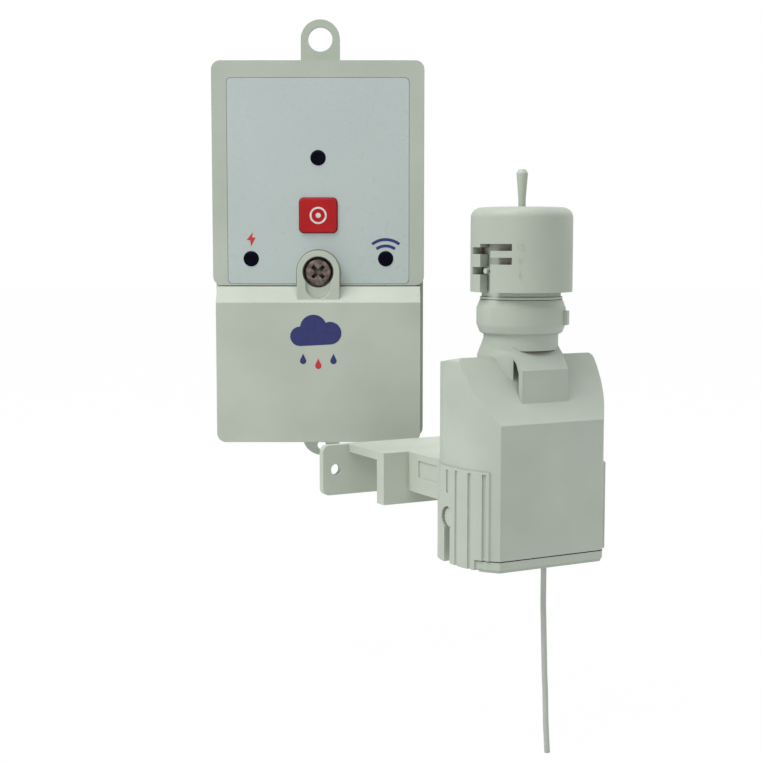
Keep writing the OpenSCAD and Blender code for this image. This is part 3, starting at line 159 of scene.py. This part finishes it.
def moulded_plastic(name, colour, rough=0.48, texture=0.45 * MM, corner_shade=0.12, gloss=0.42):
    """Injection-moulded plastic with a fine spark-eroded grain, faint flow clouds and painted shade that
    darkens its recesses.
    """
    material, tree, shader, place = pattern(name)
    clouds = between(tree, noise(tree, place, FLOW_CLOUD, 2.0), 0, 1)
    dark = [c * CLOUD_DARKER for c in colour]
    light = [min(1, c * CLOUD_LIGHTER) for c in colour]
    body = blend_colours(tree, clouds, dark, light)
    # Painted shade: the colour turns a brownish dark where other surfaces crowd it, in recesses and corners.
    shaded_colour = [c * (1 - tint * corner_shade) for c, tint in zip(colour, CORNER_SHADE_TINT)]
    skin = darker_in_corners(tree, body, shaded_colour, CORNER_SHADE_REACH, 0.12, 0.62)
    tree.links.new(skin, shader.inputs["Base Color"])
    shader.inputs["Specular IOR Level"].default_value = gloss
    sheen = between(tree, noise(tree, place, SHEEN_PATCH), rough - 0.05, rough + 0.06)
    tree.links.new(sheen, shader.inputs["Roughness"])
    grain(tree, shader, noise(tree, place, texture, 2.0), MOULD_GRAIN_DEPTH)
    return material


def paint(piece, material):
    """Gives a piece one material in place of those that it has."""
    piece.data.materials.clear()
    piece.data.materials.append(material)


def finish_piece(piece, body, slot, *nodes):
    """Rides a piece on its body and lets it stand for its CAD nodes."""
    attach(piece, body)
    if nodes:
        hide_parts(*nodes)


WIRE_RADIUS = 0.82 * MM
WIRE_EXIT = Vector((66.6752, -100.5605, -160.1)) * MM
WIRE_ROUTE = [(0, 0, 0), (0, 0, -3.5), (0, 0, -7), (0, 0, -10.5), (0.1, 0, -14), (0.2, 0, -17.5),
              (0.3, 0, -21), (0.4, 0, -24.5), (0.5, 0, -28), (0.6, 0, -31.5), (0.8, 0, -35),
              (0.9, 0, -38.5), (1, 0, -42), (1.1, 0, -45.5), (1.3, 0, -49), (1.5, 0, -52.5), (1.6, 0, -54)]
wire_points = [WIRE_EXIT + Vector(step) * MM for step in WIRE_ROUTE]
wire_curve = bpy.data.curves.new("aerial_wire", "CURVE")
wire_curve.dimensions = "3D"
wire_curve.bevel_depth = WIRE_RADIUS
wire_curve.bevel_resolution = 5
wire_curve.use_fill_caps = True
line = wire_curve.splines.new("POLY")
line.points.add(len(wire_points) - 1)
for knot, point in zip(line.points, wire_points):
    knot.co = (*point, 1)
line.use_smooth = True
aerial_wire = bpy.data.objects.new("aerial_wire", wire_curve)
bpy.context.scene.collection.objects.link(aerial_wire)
paint(aerial_wire, moulded_plastic("wire_sheath", (0.44, 0.48, 0.43), rough=0.4, texture=1.2 * MM))
finish_piece(aerial_wire, "sensor", "wire_sheath", "antenna_wire")


# Floor and lamps
# The floor lies just below the hanging wire. The camera sees it and the far space as white paper.
# A large soft lamp stands high on the left, as the lighter left sides in the photograph say, a lamp
# overhead lights the sloping faces, and a weak one stands behind on the right.
FLOOR_BELOW = 0.5 * MM
FLOOR_SIZE = 8
PAPER = (0.86, 0.86, 0.86, 1)
SEEN_WHITE = 0.985
bpy.ops.mesh.primitive_plane_add(size=FLOOR_SIZE, location=(0, 0, cad_box[0][2] - FLOOR_BELOW))
floor = bpy.context.object
floor.name = "floor"
paper = bpy.data.materials.new("paper_floor")
paper.use_nodes = True
sheet_tree = paper.node_tree
sheet_tree.nodes["Principled BSDF"].inputs["Base Color"].default_value = PAPER
sheet_tree.nodes["Principled BSDF"].inputs["Roughness"].default_value = 1
white = sheet_tree.nodes.new("ShaderNodeEmission")
white.inputs["Strength"].default_value = 1
seen = sheet_tree.nodes.new("ShaderNodeLightPath")
seen_share = sheet_tree.nodes.new("ShaderNodeMath")
seen_share.operation = "MULTIPLY"
seen_share.inputs[1].default_value = SEEN_WHITE
mixed = sheet_tree.nodes.new("ShaderNodeMixShader")
sheet_tree.links.new(seen.outputs["Is Camera Ray"], seen_share.inputs[0])
sheet_tree.links.new(seen_share.outputs["Value"], mixed.inputs["Fac"])
sheet_tree.links.new(sheet_tree.nodes["Principled BSDF"].outputs["BSDF"], mixed.inputs[1])
sheet_tree.links.new(white.outputs["Emission"], mixed.inputs[2])
sheet_tree.links.new(mixed.outputs["Shader"], sheet_tree.nodes["Material Output"].inputs["Surface"])
paint(floor, paper)

ROOM_LIGHT = 0.42
world = bpy.data.worlds.new("studio")
bpy.context.scene.world = world
world.use_nodes = True
sky = world.node_tree
room = sky.nodes["Background"]
room.inputs["Color"].default_value = (1, 1, 1, 1)
room.inputs["Strength"].default_value = ROOM_LIGHT
backdrop = sky.nodes.new("ShaderNodeBackground")
backdrop.inputs["Color"].default_value = (1, 1, 1, 1)
backdrop.inputs["Strength"].default_value = 1
rays = sky.nodes.new("ShaderNodeLightPath")
either = sky.nodes.new("ShaderNodeMath")
either.operation = "MAXIMUM"
any_clear = sky.nodes.new("ShaderNodeMath")
any_clear.operation = "MAXIMUM"
sky.links.new(rays.outputs["Is Camera Ray"], either.inputs[0])
sky.links.new(rays.outputs["Is Glossy Ray"], either.inputs[1])
sky.links.new(either.outputs["Value"], any_clear.inputs[0])
sky.links.new(rays.outputs["Is Transmission Ray"], any_clear.inputs[1])
sky_mix = sky.nodes.new("ShaderNodeMixShader")
sky.links.new(any_clear.outputs["Value"], sky_mix.inputs["Fac"])
sky.links.new(room.outputs["Background"], sky_mix.inputs[1])
sky.links.new(backdrop.outputs["Background"], sky_mix.inputs[2])
sky.links.new(sky_mix.outputs["Shader"], sky.nodes["World Output"].inputs["Surface"])


def soft_lamp(name, place, aim, size, power):
    """A square area lamp aimed at a point."""
    data = bpy.data.lights.new(name, "AREA")
    data.size = size
    data.energy = power
    lamp = bpy.data.objects.new(name, data)
    lamp.location = place
    lamp.rotation_euler = (Vector(aim) - Vector(place)).to_track_quat("-Z", "Y").to_euler()
    bpy.context.scene.collection.objects.link(lamp)


AIM = (0.03, -0.05, -0.09)
soft_lamp("key_lamp", (-0.66, -0.5, 0.92), AIM, 0.7, 10.4)
soft_lamp("rim_lamp", (0.9, 0.35, 0.5), AIM, 0.6, 1.6)
soft_lamp("top_lamp", (0.06, -0.28, 1.15), AIM, 0.5, 4.9)


# Receiver cases
# Two off-white shells meet at a seam 14 mm from the wall, and the rear one carries both hanging tabs.
# Each is moulded, so every outer edge has a small radius and the faces a fine grain.
nodes = frame["nodes"]
MERGE_WITHIN = 0.004 * MM
FLAT_WITHIN = 0.6
SMOOTH_WITHIN = 38


def rounded_shell(node, name, edge, sharp=32, steps=3):
    """A copy of a CAD solid, merged into whole faces, with its moulded edges rounded."""
    clear_selection()
    shell = bpy.data.objects.new(name, nodes[node].data.copy())
    bpy.context.scene.collection.objects.link(shell)
    bpy.context.view_layer.objects.active = shell
    shell.select_set(True)
    bpy.ops.mesh.customdata_custom_splitnormals_clear()
    bpy.ops.object.mode_set(mode="EDIT")
    bpy.ops.mesh.select_all(action="SELECT")
    bpy.ops.mesh.remove_doubles(threshold=MERGE_WITHIN)
    bpy.ops.mesh.dissolve_limited(angle_limit=math.radians(FLAT_WITHIN))
    bpy.ops.object.mode_set(mode="OBJECT")
    rounding = shell.modifiers.new("rounding", "BEVEL")
    rounding.width = edge
    rounding.segments = steps
    rounding.limit_method = "ANGLE"
    rounding.angle_limit = math.radians(sharp)
    rounding.use_clamp_overlap = True
    bpy.ops.object.modifier_apply(modifier="rounding")
    bpy.ops.object.shade_smooth_by_angle(angle=math.radians(SMOOTH_WITHIN))
    weight = shell.modifiers.new("flat_faces", "WEIGHTED_NORMAL")
    weight.keep_sharp = True
    bpy.ops.object.modifier_apply(modifier="flat_faces")
    return shell


CASE_EDGE = 0.5 * MM
case_plastic = moulded_plastic("case_plastic", (0.455, 0.505, 0.435))
rear_shell = rounded_shell("receiver_rear_case", "rear_shell", CASE_EDGE)
paint(rear_shell, case_plastic)
finish_piece(rear_shell, "fixed_set", "receiver_case", "receiver_rear_case")
front_shell = rounded_shell("receiver_front_case", "front_shell", CASE_EDGE)
paint(front_shell, case_plastic)
finish_piece(front_shell, "fixed_set", "receiver_case", "receiver_front_case")

seal_rubber = moulded_plastic("seal_rubber", (0.035, 0.038, 0.04), rough=0.75, texture=0.3 * MM, corner_shade=0.05,
                              gloss=0.25)
for seal in ("case_seal", "cable_grommet", "base_seal", "neck_seal"):
    paint(nodes[seal], seal_rubber)


# Face label
# A satin film lies in a shallow recess of the front case and is printed with a lightning bolt over the
# left lamp and radio arcs over the right one. The places of its words are left bare.
FACE_Y = -23.5 * MM
INK = 0.04 * MM
LAMP_LOW_Z = -74.1 * MM
LAMP_X = 22.2 * MM
PRINT_GRAIN_DEPTH = 0.006 * MM


def label_film():
    """Cool pale film with a faint pearl cloud and a painted shade along the edge where it meets its recess.
    """
    material, tree, shader, place = pattern("label_film")
    clouds = between(tree, noise(tree, place, 30 * MM, 2.0), 0, 1)
    body = blend_colours(tree, clouds, (0.47, 0.542, 0.527), (0.488, 0.56, 0.545))
    # Painted shade along the film's edge where it meets the recess wall.
    edge_shade = darker_in_corners(tree, body, (0.13, 0.15, 0.15), 0.6 * MM, 0.4, 0.75)
    tree.links.new(edge_shade, shader.inputs["Base Color"])
    tree.links.new(between(tree, noise(tree, place, 4 * MM), 0.26, 0.36), shader.inputs["Roughness"])
    shader.inputs["Specular IOR Level"].default_value = 0.5
    grain(tree, shader, noise(tree, place, 0.7 * MM, 2.0), PRINT_GRAIN_DEPTH)
    return material


def ink(name, colour):
    """Screen-printed ink with a slightly uneven coat."""
    material, tree, shader, place = pattern(name)
    coat = between(tree, noise(tree, place, 1.2 * MM), 0, 1)
    shade = blend_colours(tree, coat, [c * 0.85 for c in colour], [min(1, c * 1.1) for c in colour])
    tree.links.new(shade, shader.inputs["Base Color"])
    shader.inputs["Roughness"].default_value = 0.38
    grain(tree, shader, noise(tree, place, 0.4 * MM, 2.0), PRINT_GRAIN_DEPTH)
    return material


def printed(name, outline, face_y, material):
    """A flat mark on the receiver's front, from its outline of x and z in metres, as thick as the ink."""
    clear_selection()
    bpy.ops.mesh.primitive_circle_add(vertices=len(outline), radius=MM, fill_type="NGON")
    mark = bpy.context.object
    mark.name = name
    for vertex, (x, z) in zip(mark.data.vertices, outline):
        vertex.co = (x, face_y, z)
    bpy.ops.object.mode_set(mode="EDIT")
    bpy.ops.mesh.select_all(action="SELECT")
    bpy.ops.mesh.extrude_region_move(TRANSFORM_OT_translate={"value": (0, -INK, 0)})
    bpy.ops.mesh.select_all(action="SELECT")
    bpy.ops.mesh.normals_make_consistent(inside=False)
    bpy.ops.object.mode_set(mode="OBJECT")
    paint(mark, material)
    return mark


def join(pieces, name):
    """Joins several meshes into one piece."""
    clear_selection()
    for piece in pieces:
        piece.select_set(True)
    bpy.context.view_layer.objects.active = pieces[0]
    bpy.ops.object.join()
    pieces[0].name = name
    return pieces[0]


def arc_band(centre, radius, width, half_angle, steps=24):
    """Outline of a band bent round a centre, symmetric about straight up, with x and z in metres."""
    angles = [half_angle * (1 - 2 * i / steps) for i in range(steps + 1)]
    wide, narrow = radius + width / 2, radius - width / 2
    outer = [(centre[0] + wide * math.sin(-a), centre[1] + wide * math.cos(a)) for a in angles]
    inner = [(centre[0] + narrow * math.sin(-a), centre[1] + narrow * math.cos(a)) for a in reversed(angles)]
    return outer + inner


label_face = rounded_shell("receiver_label", "face_label", 0.08 * MM, steps=2)
paint(label_face, label_film())
finish_piece(label_face, "fixed_set", "face_label", "receiver_label")

navy_ink = ink("navy_ink", (0.012, 0.02, 0.13))
red_ink = ink("red_ink", (0.55, 0.02, 0.02))
BOLT_ABOVE = 6.4 * MM
BOLT_CENTRE = (-LAMP_X, LAMP_LOW_Z + BOLT_ABOVE)
BOLT_SIZE = 2.35 * MM
BOLT_SHAPE = [(0.26, 1), (-0.62, -0.12), (-0.12, -0.12), (0, -1), (0.62, 0.24), (0.14, 0.24)]
bolt = printed("lightning_mark", [(BOLT_CENTRE[0] + x * BOLT_SIZE, BOLT_CENTRE[1] + z * BOLT_SIZE)
                                  for x, z in BOLT_SHAPE], FACE_Y, red_ink)
finish_piece(bolt, "fixed_set", "face_label")
ARC_CENTRE = (LAMP_X, LAMP_LOW_Z - 1 * MM)
ARC_WIDTH = 0.95 * MM
ARCS = ((7.3 * MM, 38), (5.2 * MM, 36))
arcs = [printed("radio_arc", arc_band(ARC_CENTRE, radius, ARC_WIDTH, math.radians(turn)), FACE_Y, navy_ink)
        for radius, turn in ARCS]
radio_mark = join(arcs, "radio_mark")
finish_piece(radio_mark, "fixed_set", "face_label")


# Indicator lamps
# Three 5 mm lamps of dark blue resin stand in holes of the face, a little domed at the front.
def dark_resin():
    """Unlit resin, nearly black, with a faint blue depth."""
    material, tree, shader, place = pattern("lamp_navy")
    depth_cloud = between(tree, noise(tree, place, 3 * MM, 2.0), 0, 1)
    shade = blend_colours(tree, depth_cloud, (0.0012, 0.001, 0.004), (0.003, 0.003, 0.014))
    tree.links.new(shade, shader.inputs["Base Color"])
    shader.inputs["Roughness"].default_value = 0.3
    shader.inputs["Specular IOR Level"].default_value = 0.04
    grain(tree, shader, noise(tree, place, 0.9 * MM, 1.0), 0.008 * MM)
    return material


lamp_resin = dark_resin()
for lamp_node in ("status_led", "power_led", "signal_led"):
    lamp_piece = rounded_shell(lamp_node, lamp_node.replace("_led", "_lamp"), 0.3 * MM, sharp=25, steps=4)
    paint(lamp_piece, lamp_resin)
    finish_piece(lamp_piece, "fixed_set", "lamp_navy", lamp_node)


# Bypass button
# A red satin key with soft edges stands 0.9 mm proud of the face. A plain ring and dot take the place
# of its word.
def red_key():
    """Satin red plastic, a little uneven from the mould."""
    material, tree, shader, place = pattern("button_red")
    clouds = between(tree, noise(tree, place, 8 * MM, 2.0), 0, 1)
    red = blend_colours(tree, clouds, (0.4, 0.006, 0.009), (0.47, 0.009, 0.012))
    tree.links.new(red, shader.inputs["Base Color"])
    shader.inputs["Specular IOR Level"].default_value = 0.25
    tree.links.new(between(tree, noise(tree, place, 3 * MM), 0.33, 0.42), shader.inputs["Roughness"])
    grain(tree, shader, noise(tree, place, 0.4 * MM, 2.0), 0.014 * MM)
    return material


BUTTON_PROUD = 0.9 * MM
BUTTON_FACE = FACE_Y - BUTTON_PROUD
BUTTON_Z = -59.9 * MM
RING_RADIUS = 2.5 * MM
RING_WIDTH = 0.62 * MM
DOT_RADIUS = 0.85 * MM
ROUND_STEPS = 32
button_key = rounded_shell("bypass_button", "button_key", 0.45 * MM, steps=4)
paint(button_key, red_key())
finish_piece(button_key, "bypass_button", "button_red", "bypass_button")
white_ink = ink("white_ink", (0.72, 0.68, 0.66))
half_ring = arc_band((0, BUTTON_Z), RING_RADIUS, RING_WIDTH, math.radians(90), ROUND_STEPS)
ring_arcs = [printed("ring_half", [(x, BUTTON_Z + turn * (z - BUTTON_Z)) for x, z in half_ring],
                     BUTTON_FACE, white_ink) for turn in (1, -1)]
dot_turns = [math.tau * i / ROUND_STEPS for i in range(ROUND_STEPS)]
dot = printed("dot", [(DOT_RADIUS * math.cos(a), BUTTON_Z + DOT_RADIUS * math.sin(a)) for a in dot_turns],
              BUTTON_FACE, white_ink)
button_mark = join([*ring_arcs, dot], "button_mark")
finish_piece(button_mark, "bypass_button", "button_red")


# Terminal cover and its screw
# The cover stands proud of the face, slopes back along its top edge and rises as an arch round one
# cross-head screw of darkened steel. A cloud and three drops take the place of its printed words.
cover_shell = rounded_shell("terminal_cover", "cover_shell", 0.55 * MM, steps=4)
paint(cover_shell, moulded_plastic("cover_plastic", (0.475, 0.525, 0.45)))
finish_piece(cover_shell, "terminal_cover", "receiver_cover", "terminal_cover")

COVER_Y = -28 * MM
CLOUD_PLACE = (0, -100 * MM)
CLOUD_SIZE = 5.2 * MM
CLOUD_BASE = -0.52
CLOUD_LOBES = [(-1.15, 0.1, 0.62, 250, 89.5), (-0.3, 0.62, 0.85, 173.2, 24), (0.75, 0.3, 0.72, 112.3, -90)]
LOBE_STEPS = 14
CLOSEST_POINTS = 0.02


def cloud_outline():
    """Outline of a cloud: a flat base and three round lobes, the left one first.

    A lobe has its centre, its radius and the angles where it starts and stops."""
    points = [(CLOUD_LOBES[0][0], CLOUD_BASE)]
    for cx, cz, r, start, stop in CLOUD_LOBES:
        for i in range(LOBE_STEPS + 1):
            a = math.radians(start + (stop - start) * i / LOBE_STEPS)
            points.append((cx + r * math.cos(a), max(CLOUD_BASE, cz + r * math.sin(a))))
    clean = [points[0]]
    for point in points[1:]:
        if math.dist(point, clean[-1]) > CLOSEST_POINTS:
            clean.append(point)
    return [(CLOUD_PLACE[0] + x * CLOUD_SIZE, CLOUD_PLACE[1] + z * CLOUD_SIZE) for x, z in clean]


DROP_RADIUS = 1.05 * MM
DROP_TIP = 2.3
DROP_STEPS = 20
DROP_FROM, DROP_ROUND = 155, 230
DROPS = [(-5, -7.6, navy_ink), (0, -9.2, red_ink), (5, -7.6, navy_ink)]


def drop_outline(x, z):
    """Outline of a rain drop with a pointed top, x and z millimetres from the cloud."""
    centre = (CLOUD_PLACE[0] + x * MM, CLOUD_PLACE[1] + z * MM)
    turns = [math.radians(DROP_FROM + DROP_ROUND * i / DROP_STEPS) for i in range(DROP_STEPS + 1)]
    low = [(centre[0] + DROP_RADIUS * math.cos(a), centre[1] + DROP_RADIUS * math.sin(a)) for a in turns]
    return [(centre[0], centre[1] + DROP_TIP * DROP_RADIUS), *low]


cloud = printed("cloud", cloud_outline(), COVER_Y, navy_ink)
drops = [printed("drop", drop_outline(x, z), COVER_Y, drop_ink) for x, z, drop_ink in DROPS]
rain_mark = join([cloud, *drops], "rain_mark")
finish_piece(rain_mark, "terminal_cover", "receiver_cover")


PATINA_PATCH = 1.8 * MM
# Painted shade in recesses: how far crowding surfaces are felt and how dark the colour turns there.
RECESS_SHADE_REACH = 1.6 * MM
RECESS_SHADE_SHARE = 0.06
TOOL_MARKS = 0.5 * MM


def turned_metal(name, colour, rough=0.32, patina=0.2):
    """Plated metal with fine tool marks, a patchy darker patina and painted shade that darkens its recesses.
    """
    material, tree, shader, place = pattern(name)
    patches = between(tree, noise(tree, place, PATINA_PATCH, 4.0), 0, 1, 0.4, 0.7)
    shade = blend_colours(tree, patches, [c * (1 - patina) for c in colour], colour)
    # Painted shade: the colour turns nearly black where other surfaces crowd it, in recesses and cross
    # slots.
    recess_shade = [c * RECESS_SHADE_SHARE for c in colour]
    tree.links.new(darker_in_corners(tree, shade, recess_shade, RECESS_SHADE_REACH, 0.45, 0.86, samples=8),
                   shader.inputs["Base Color"])
    shader.inputs["Metallic"].default_value = 1
    tree.links.new(between(tree, noise(tree, place, 1 * MM, 4.0), rough - 0.08, rough + 0.12),
                   shader.inputs["Roughness"])
    grain(tree, shader, noise(tree, place, TOOL_MARKS, stretch=(1, 1, 6)), 0.02 * MM)
    return material


cover_screw = rounded_shell("cover_screw", "screw_head", 0.12 * MM, steps=3)
paint(cover_screw, turned_metal("screw_bronze", (0.27, 0.22, 0.185), rough=0.38, patina=0.62))
finish_piece(cover_screw, "cover_screw", "screw_bronze", "cover_screw")


# Inside the receiver
# A green circuit board on four posts carries the lamps, the key's switch, a relay, a capacitor, a wire
# aerial and the five-way terminal block that the cover hides.
TRACKS_PER_METRE = 260
TRACK_WIDTH = 0.012


def circuit_board():
    """Green solder mask over faint copper tracks."""
    material, tree, shader, place = pattern("circuit_board")
    tracks = tree.nodes.new("ShaderNodeTexBrick")
    tracks.inputs["Scale"].default_value = TRACKS_PER_METRE
    tracks.inputs["Mortar Size"].default_value = TRACK_WIDTH
    tracks.inputs["Color1"].default_value = (0.02, 0.11, 0.045, 1)
    tracks.inputs["Color2"].default_value = (0.026, 0.13, 0.055, 1)
    tracks.inputs["Mortar"].default_value = (0.06, 0.2, 0.075, 1)
    turned = tree.nodes.new("ShaderNodeMapping")
    turned.inputs["Rotation"].default_value = (math.radians(90), 0, 0)
    tree.links.new(place, turned.inputs["Vector"])
    tree.links.new(turned.outputs["Vector"], tracks.inputs["Vector"])
    tree.links.new(tracks.outputs["Color"], shader.inputs["Base Color"])
    shader.inputs["Roughness"].default_value = 0.35
    grain(tree, shader, noise(tree, place, 0.9 * MM, 2.0), 0.01 * MM)
    return material


board_green = circuit_board()
zinc_steel = turned_metal("screw_steel", (0.5, 0.5, 0.48))
black_case = moulded_plastic("switch_black", (0.012, 0.013, 0.014), rough=0.4)
paint(nodes["receiver_board"], board_green)
for screws in ("board_screws", "case_screws", "terminal_screws"):
    paint(nodes[screws], zinc_steel)
paint(nodes["tact_switch"], black_case)
paint(nodes["tact_plunger"], moulded_plastic("switch_grey", (0.24, 0.26, 0.27)))
paint(nodes["relay"], moulded_plastic("relay_blue", (0.02, 0.05, 0.11), rough=0.3, gloss=0.5))
paint(nodes["power_capacitor"],
      moulded_plastic("capacitor_sleeve", (0.014, 0.014, 0.02), rough=0.25, gloss=0.5))
paint(nodes["receiver_aerial"], turned_metal("aerial_copper", (0.55, 0.3, 0.14)))
paint(nodes["terminal_block"], moulded_plastic("terminal_green", (0.04, 0.12, 0.055), rough=0.4))


# Gutter bracket and swivel shaft
# The bracket is one moulding: front lip, top web and back plate grip a gutter's edge, and two cheeks
# reach into the housing. The toothed shaft joins them and shows as a serrated button in its side.
bracket_plastic = moulded_plastic("bracket_plastic", (0.5, 0.545, 0.47))
bracket_body = rounded_shell("gutter_bracket", "bracket_body", 0.4 * MM)
paint(bracket_body, bracket_plastic)
finish_piece(bracket_body, "fixed_set", "bracket_plastic", "gutter_bracket")
shaft_body = rounded_shell("swivel_shaft", "shaft_body", 0.12 * MM, sharp=25, steps=2)
paint(shaft_body, bracket_plastic)
finish_piece(shaft_body, "fixed_set", "bracket_plastic", "swivel_shaft")


# Sensor housing and base cover
# A wedge-fronted box of off-white plastic with bulging ribbed side panels, closed below by a cover that
# leaves a fine dark seam. The place of the printed name on its front is left bare.
sensor_plastic = moulded_plastic("sensor_plastic", (0.465, 0.515, 0.445))
housing_shell = rounded_shell("sensor_housing", "housing_shell", 0.35 * MM, sharp=28)
paint(housing_shell, sensor_plastic)
finish_piece(housing_shell, "sensor", "sensor_plastic", "sensor_housing")
base_shell = rounded_shell("base_cover", "base_shell", 0.2 * MM)
paint(base_shell, sensor_plastic)
finish_piece(base_shell, "base_cover", "sensor_plastic", "base_cover")


# Inside the sensor
# A small transmitter board holds a coin cell in its holder, with a brass contact, and carries the
# microswitch that the spindle presses.
paint(nodes["transmitter_board"], board_green)
paint(nodes["coin_cell"], turned_metal("cell_steel", (0.62, 0.63, 0.64), rough=0.25))
paint(nodes["battery_holder"], black_case)
paint(nodes["battery_contact"], turned_metal("contact_brass", (0.6, 0.46, 0.2)))
paint(nodes["microswitch"], black_case)
paint(nodes["switch_plunger"], moulded_plastic("plunger_red", (0.36, 0.045, 0.03)))
paint(nodes["antenna_ferrule"], moulded_plastic("ferrule_plastic", (0.4, 0.44, 0.39)))


# Pedestal and neck
# The pedestal is screwed to the housing's top, with a hood over its front, and takes the neck sleeve
# that carries the ring, the discs and the cap.
pedestal_body = rounded_shell("head_pedestal", "pedestal_body", 0.25 * MM, sharp=26)
paint(pedestal_body, sensor_plastic)
finish_piece(pedestal_body, "sensor", "sensor_plastic", "head_pedestal")
neck_body = rounded_shell("neck_sleeve", "neck_body", 0.12 * MM)
paint(neck_body, sensor_plastic)
finish_piece(neck_body, "sensor", "sensor_plastic", "neck_sleeve")
paint(nodes["pedestal_screws"], zinc_steel)


# Vent ring
# A moulded ring with a nub for the finger turns on the neck under the cap.
# Its windows, at the back, open or shut the way for the air that dries the discs.
cap_plastic = moulded_plastic("cap_plastic", (0.45, 0.5, 0.425))
ring_body = rounded_shell("vent_ring", "ring_body", 0.3 * MM, sharp=25)
paint(ring_body, cap_plastic)
finish_piece(ring_body, "vent_ring", "cap_plastic", "vent_ring")


# Rainfall cap
# A deep cap with a vertical channel and level slots, one for each rainfall setting, which catch the neck's
# guide pin. Its raised setting numbers are plain ones.
cap_body = rounded_shell("sensor_cap", "cap_body", 0.22 * MM)
paint(cap_body, cap_plastic)
finish_piece(cap_body, "cap", "cap_plastic", "sensor_cap")

AXIS = Vector((60.6, -90.2)) * MM
CAP_RADIUS = 14.5 * MM
NUMBER_ANGLE = -97
NUMBER_SIZE = 2.6 * MM
NUMBER_PROUD = 0.12 * MM
NUMBER_EDGE = 0.03 * MM
NUMBERS = [("12", 88.9), ("9", 85.1), ("6", 81.3)]
BASE_Z = -158.9 * MM


def raised_number(text, height):
    """A number raised from the cap's wall and bent round it, with its height in metres."""
    clear_selection()
    bpy.ops.object.text_add()
    number = bpy.context.object
    number.data.body = text
    number.data.size = NUMBER_SIZE
    number.data.align_x = "CENTER"
    number.data.align_y = "CENTER"
    number.data.extrude = NUMBER_PROUD / 2
    number.data.bevel_depth = NUMBER_EDGE
    bpy.ops.object.convert(target="MESH")
    for vertex in number.data.vertices:
        turn = math.radians(NUMBER_ANGLE) + vertex.co.x / CAP_RADIUS
        radius = CAP_RADIUS + vertex.co.z
        vertex.co = (AXIS.x + radius * math.cos(turn), AXIS.y + radius * math.sin(turn),
                     height + vertex.co.y)
    return number


numbers = [raised_number(text, BASE_Z + height * MM) for text, height in NUMBERS]
setting_numbers = join(numbers, "setting_numbers")
paint(setting_numbers, cap_plastic)
finish_piece(setting_numbers, "cap", "cap_plastic")


# Discs, cage, spring and spindle
# Pressed fibre discs in a slotted cage swell when wet, push the spindle's plate down against the return
# spring and so open the switch. The spindle's flared tip stands out of the cap.
def pressed_fibre():
    """Pale brown pressed fibre with short dark strands."""
    material, tree, shader, place = pattern("disc_fibre")
    strands = between(tree, noise(tree, place, 0.6 * MM, 4.0, stretch=(1, 1, 5)), 0, 1)
    tree.links.new(blend_colours(tree, strands, (0.26, 0.17, 0.09), (0.46, 0.33, 0.19)),
                   shader.inputs["Base Color"])
    shader.inputs["Roughness"].default_value = 0.85
    grain(tree, shader, strands, 0.08 * MM)
    return material


white_plastic = moulded_plastic("cage_white", (0.62, 0.65, 0.59))
paint(nodes["moisture_discs"], pressed_fibre())
for white_part in ("disc_cage", "top_washer", "pressure_plate"):
    paint(nodes[white_part], white_plastic)
spindle_body = rounded_shell("spindle", "spindle_body", 0.2 * MM, sharp=20)
paint(spindle_body, cap_plastic)
finish_piece(spindle_body, "spindle", "cap_plastic", "spindle")
paint(nodes["return_spring"], turned_metal("spring_steel", (0.55, 0.56, 0.57)))
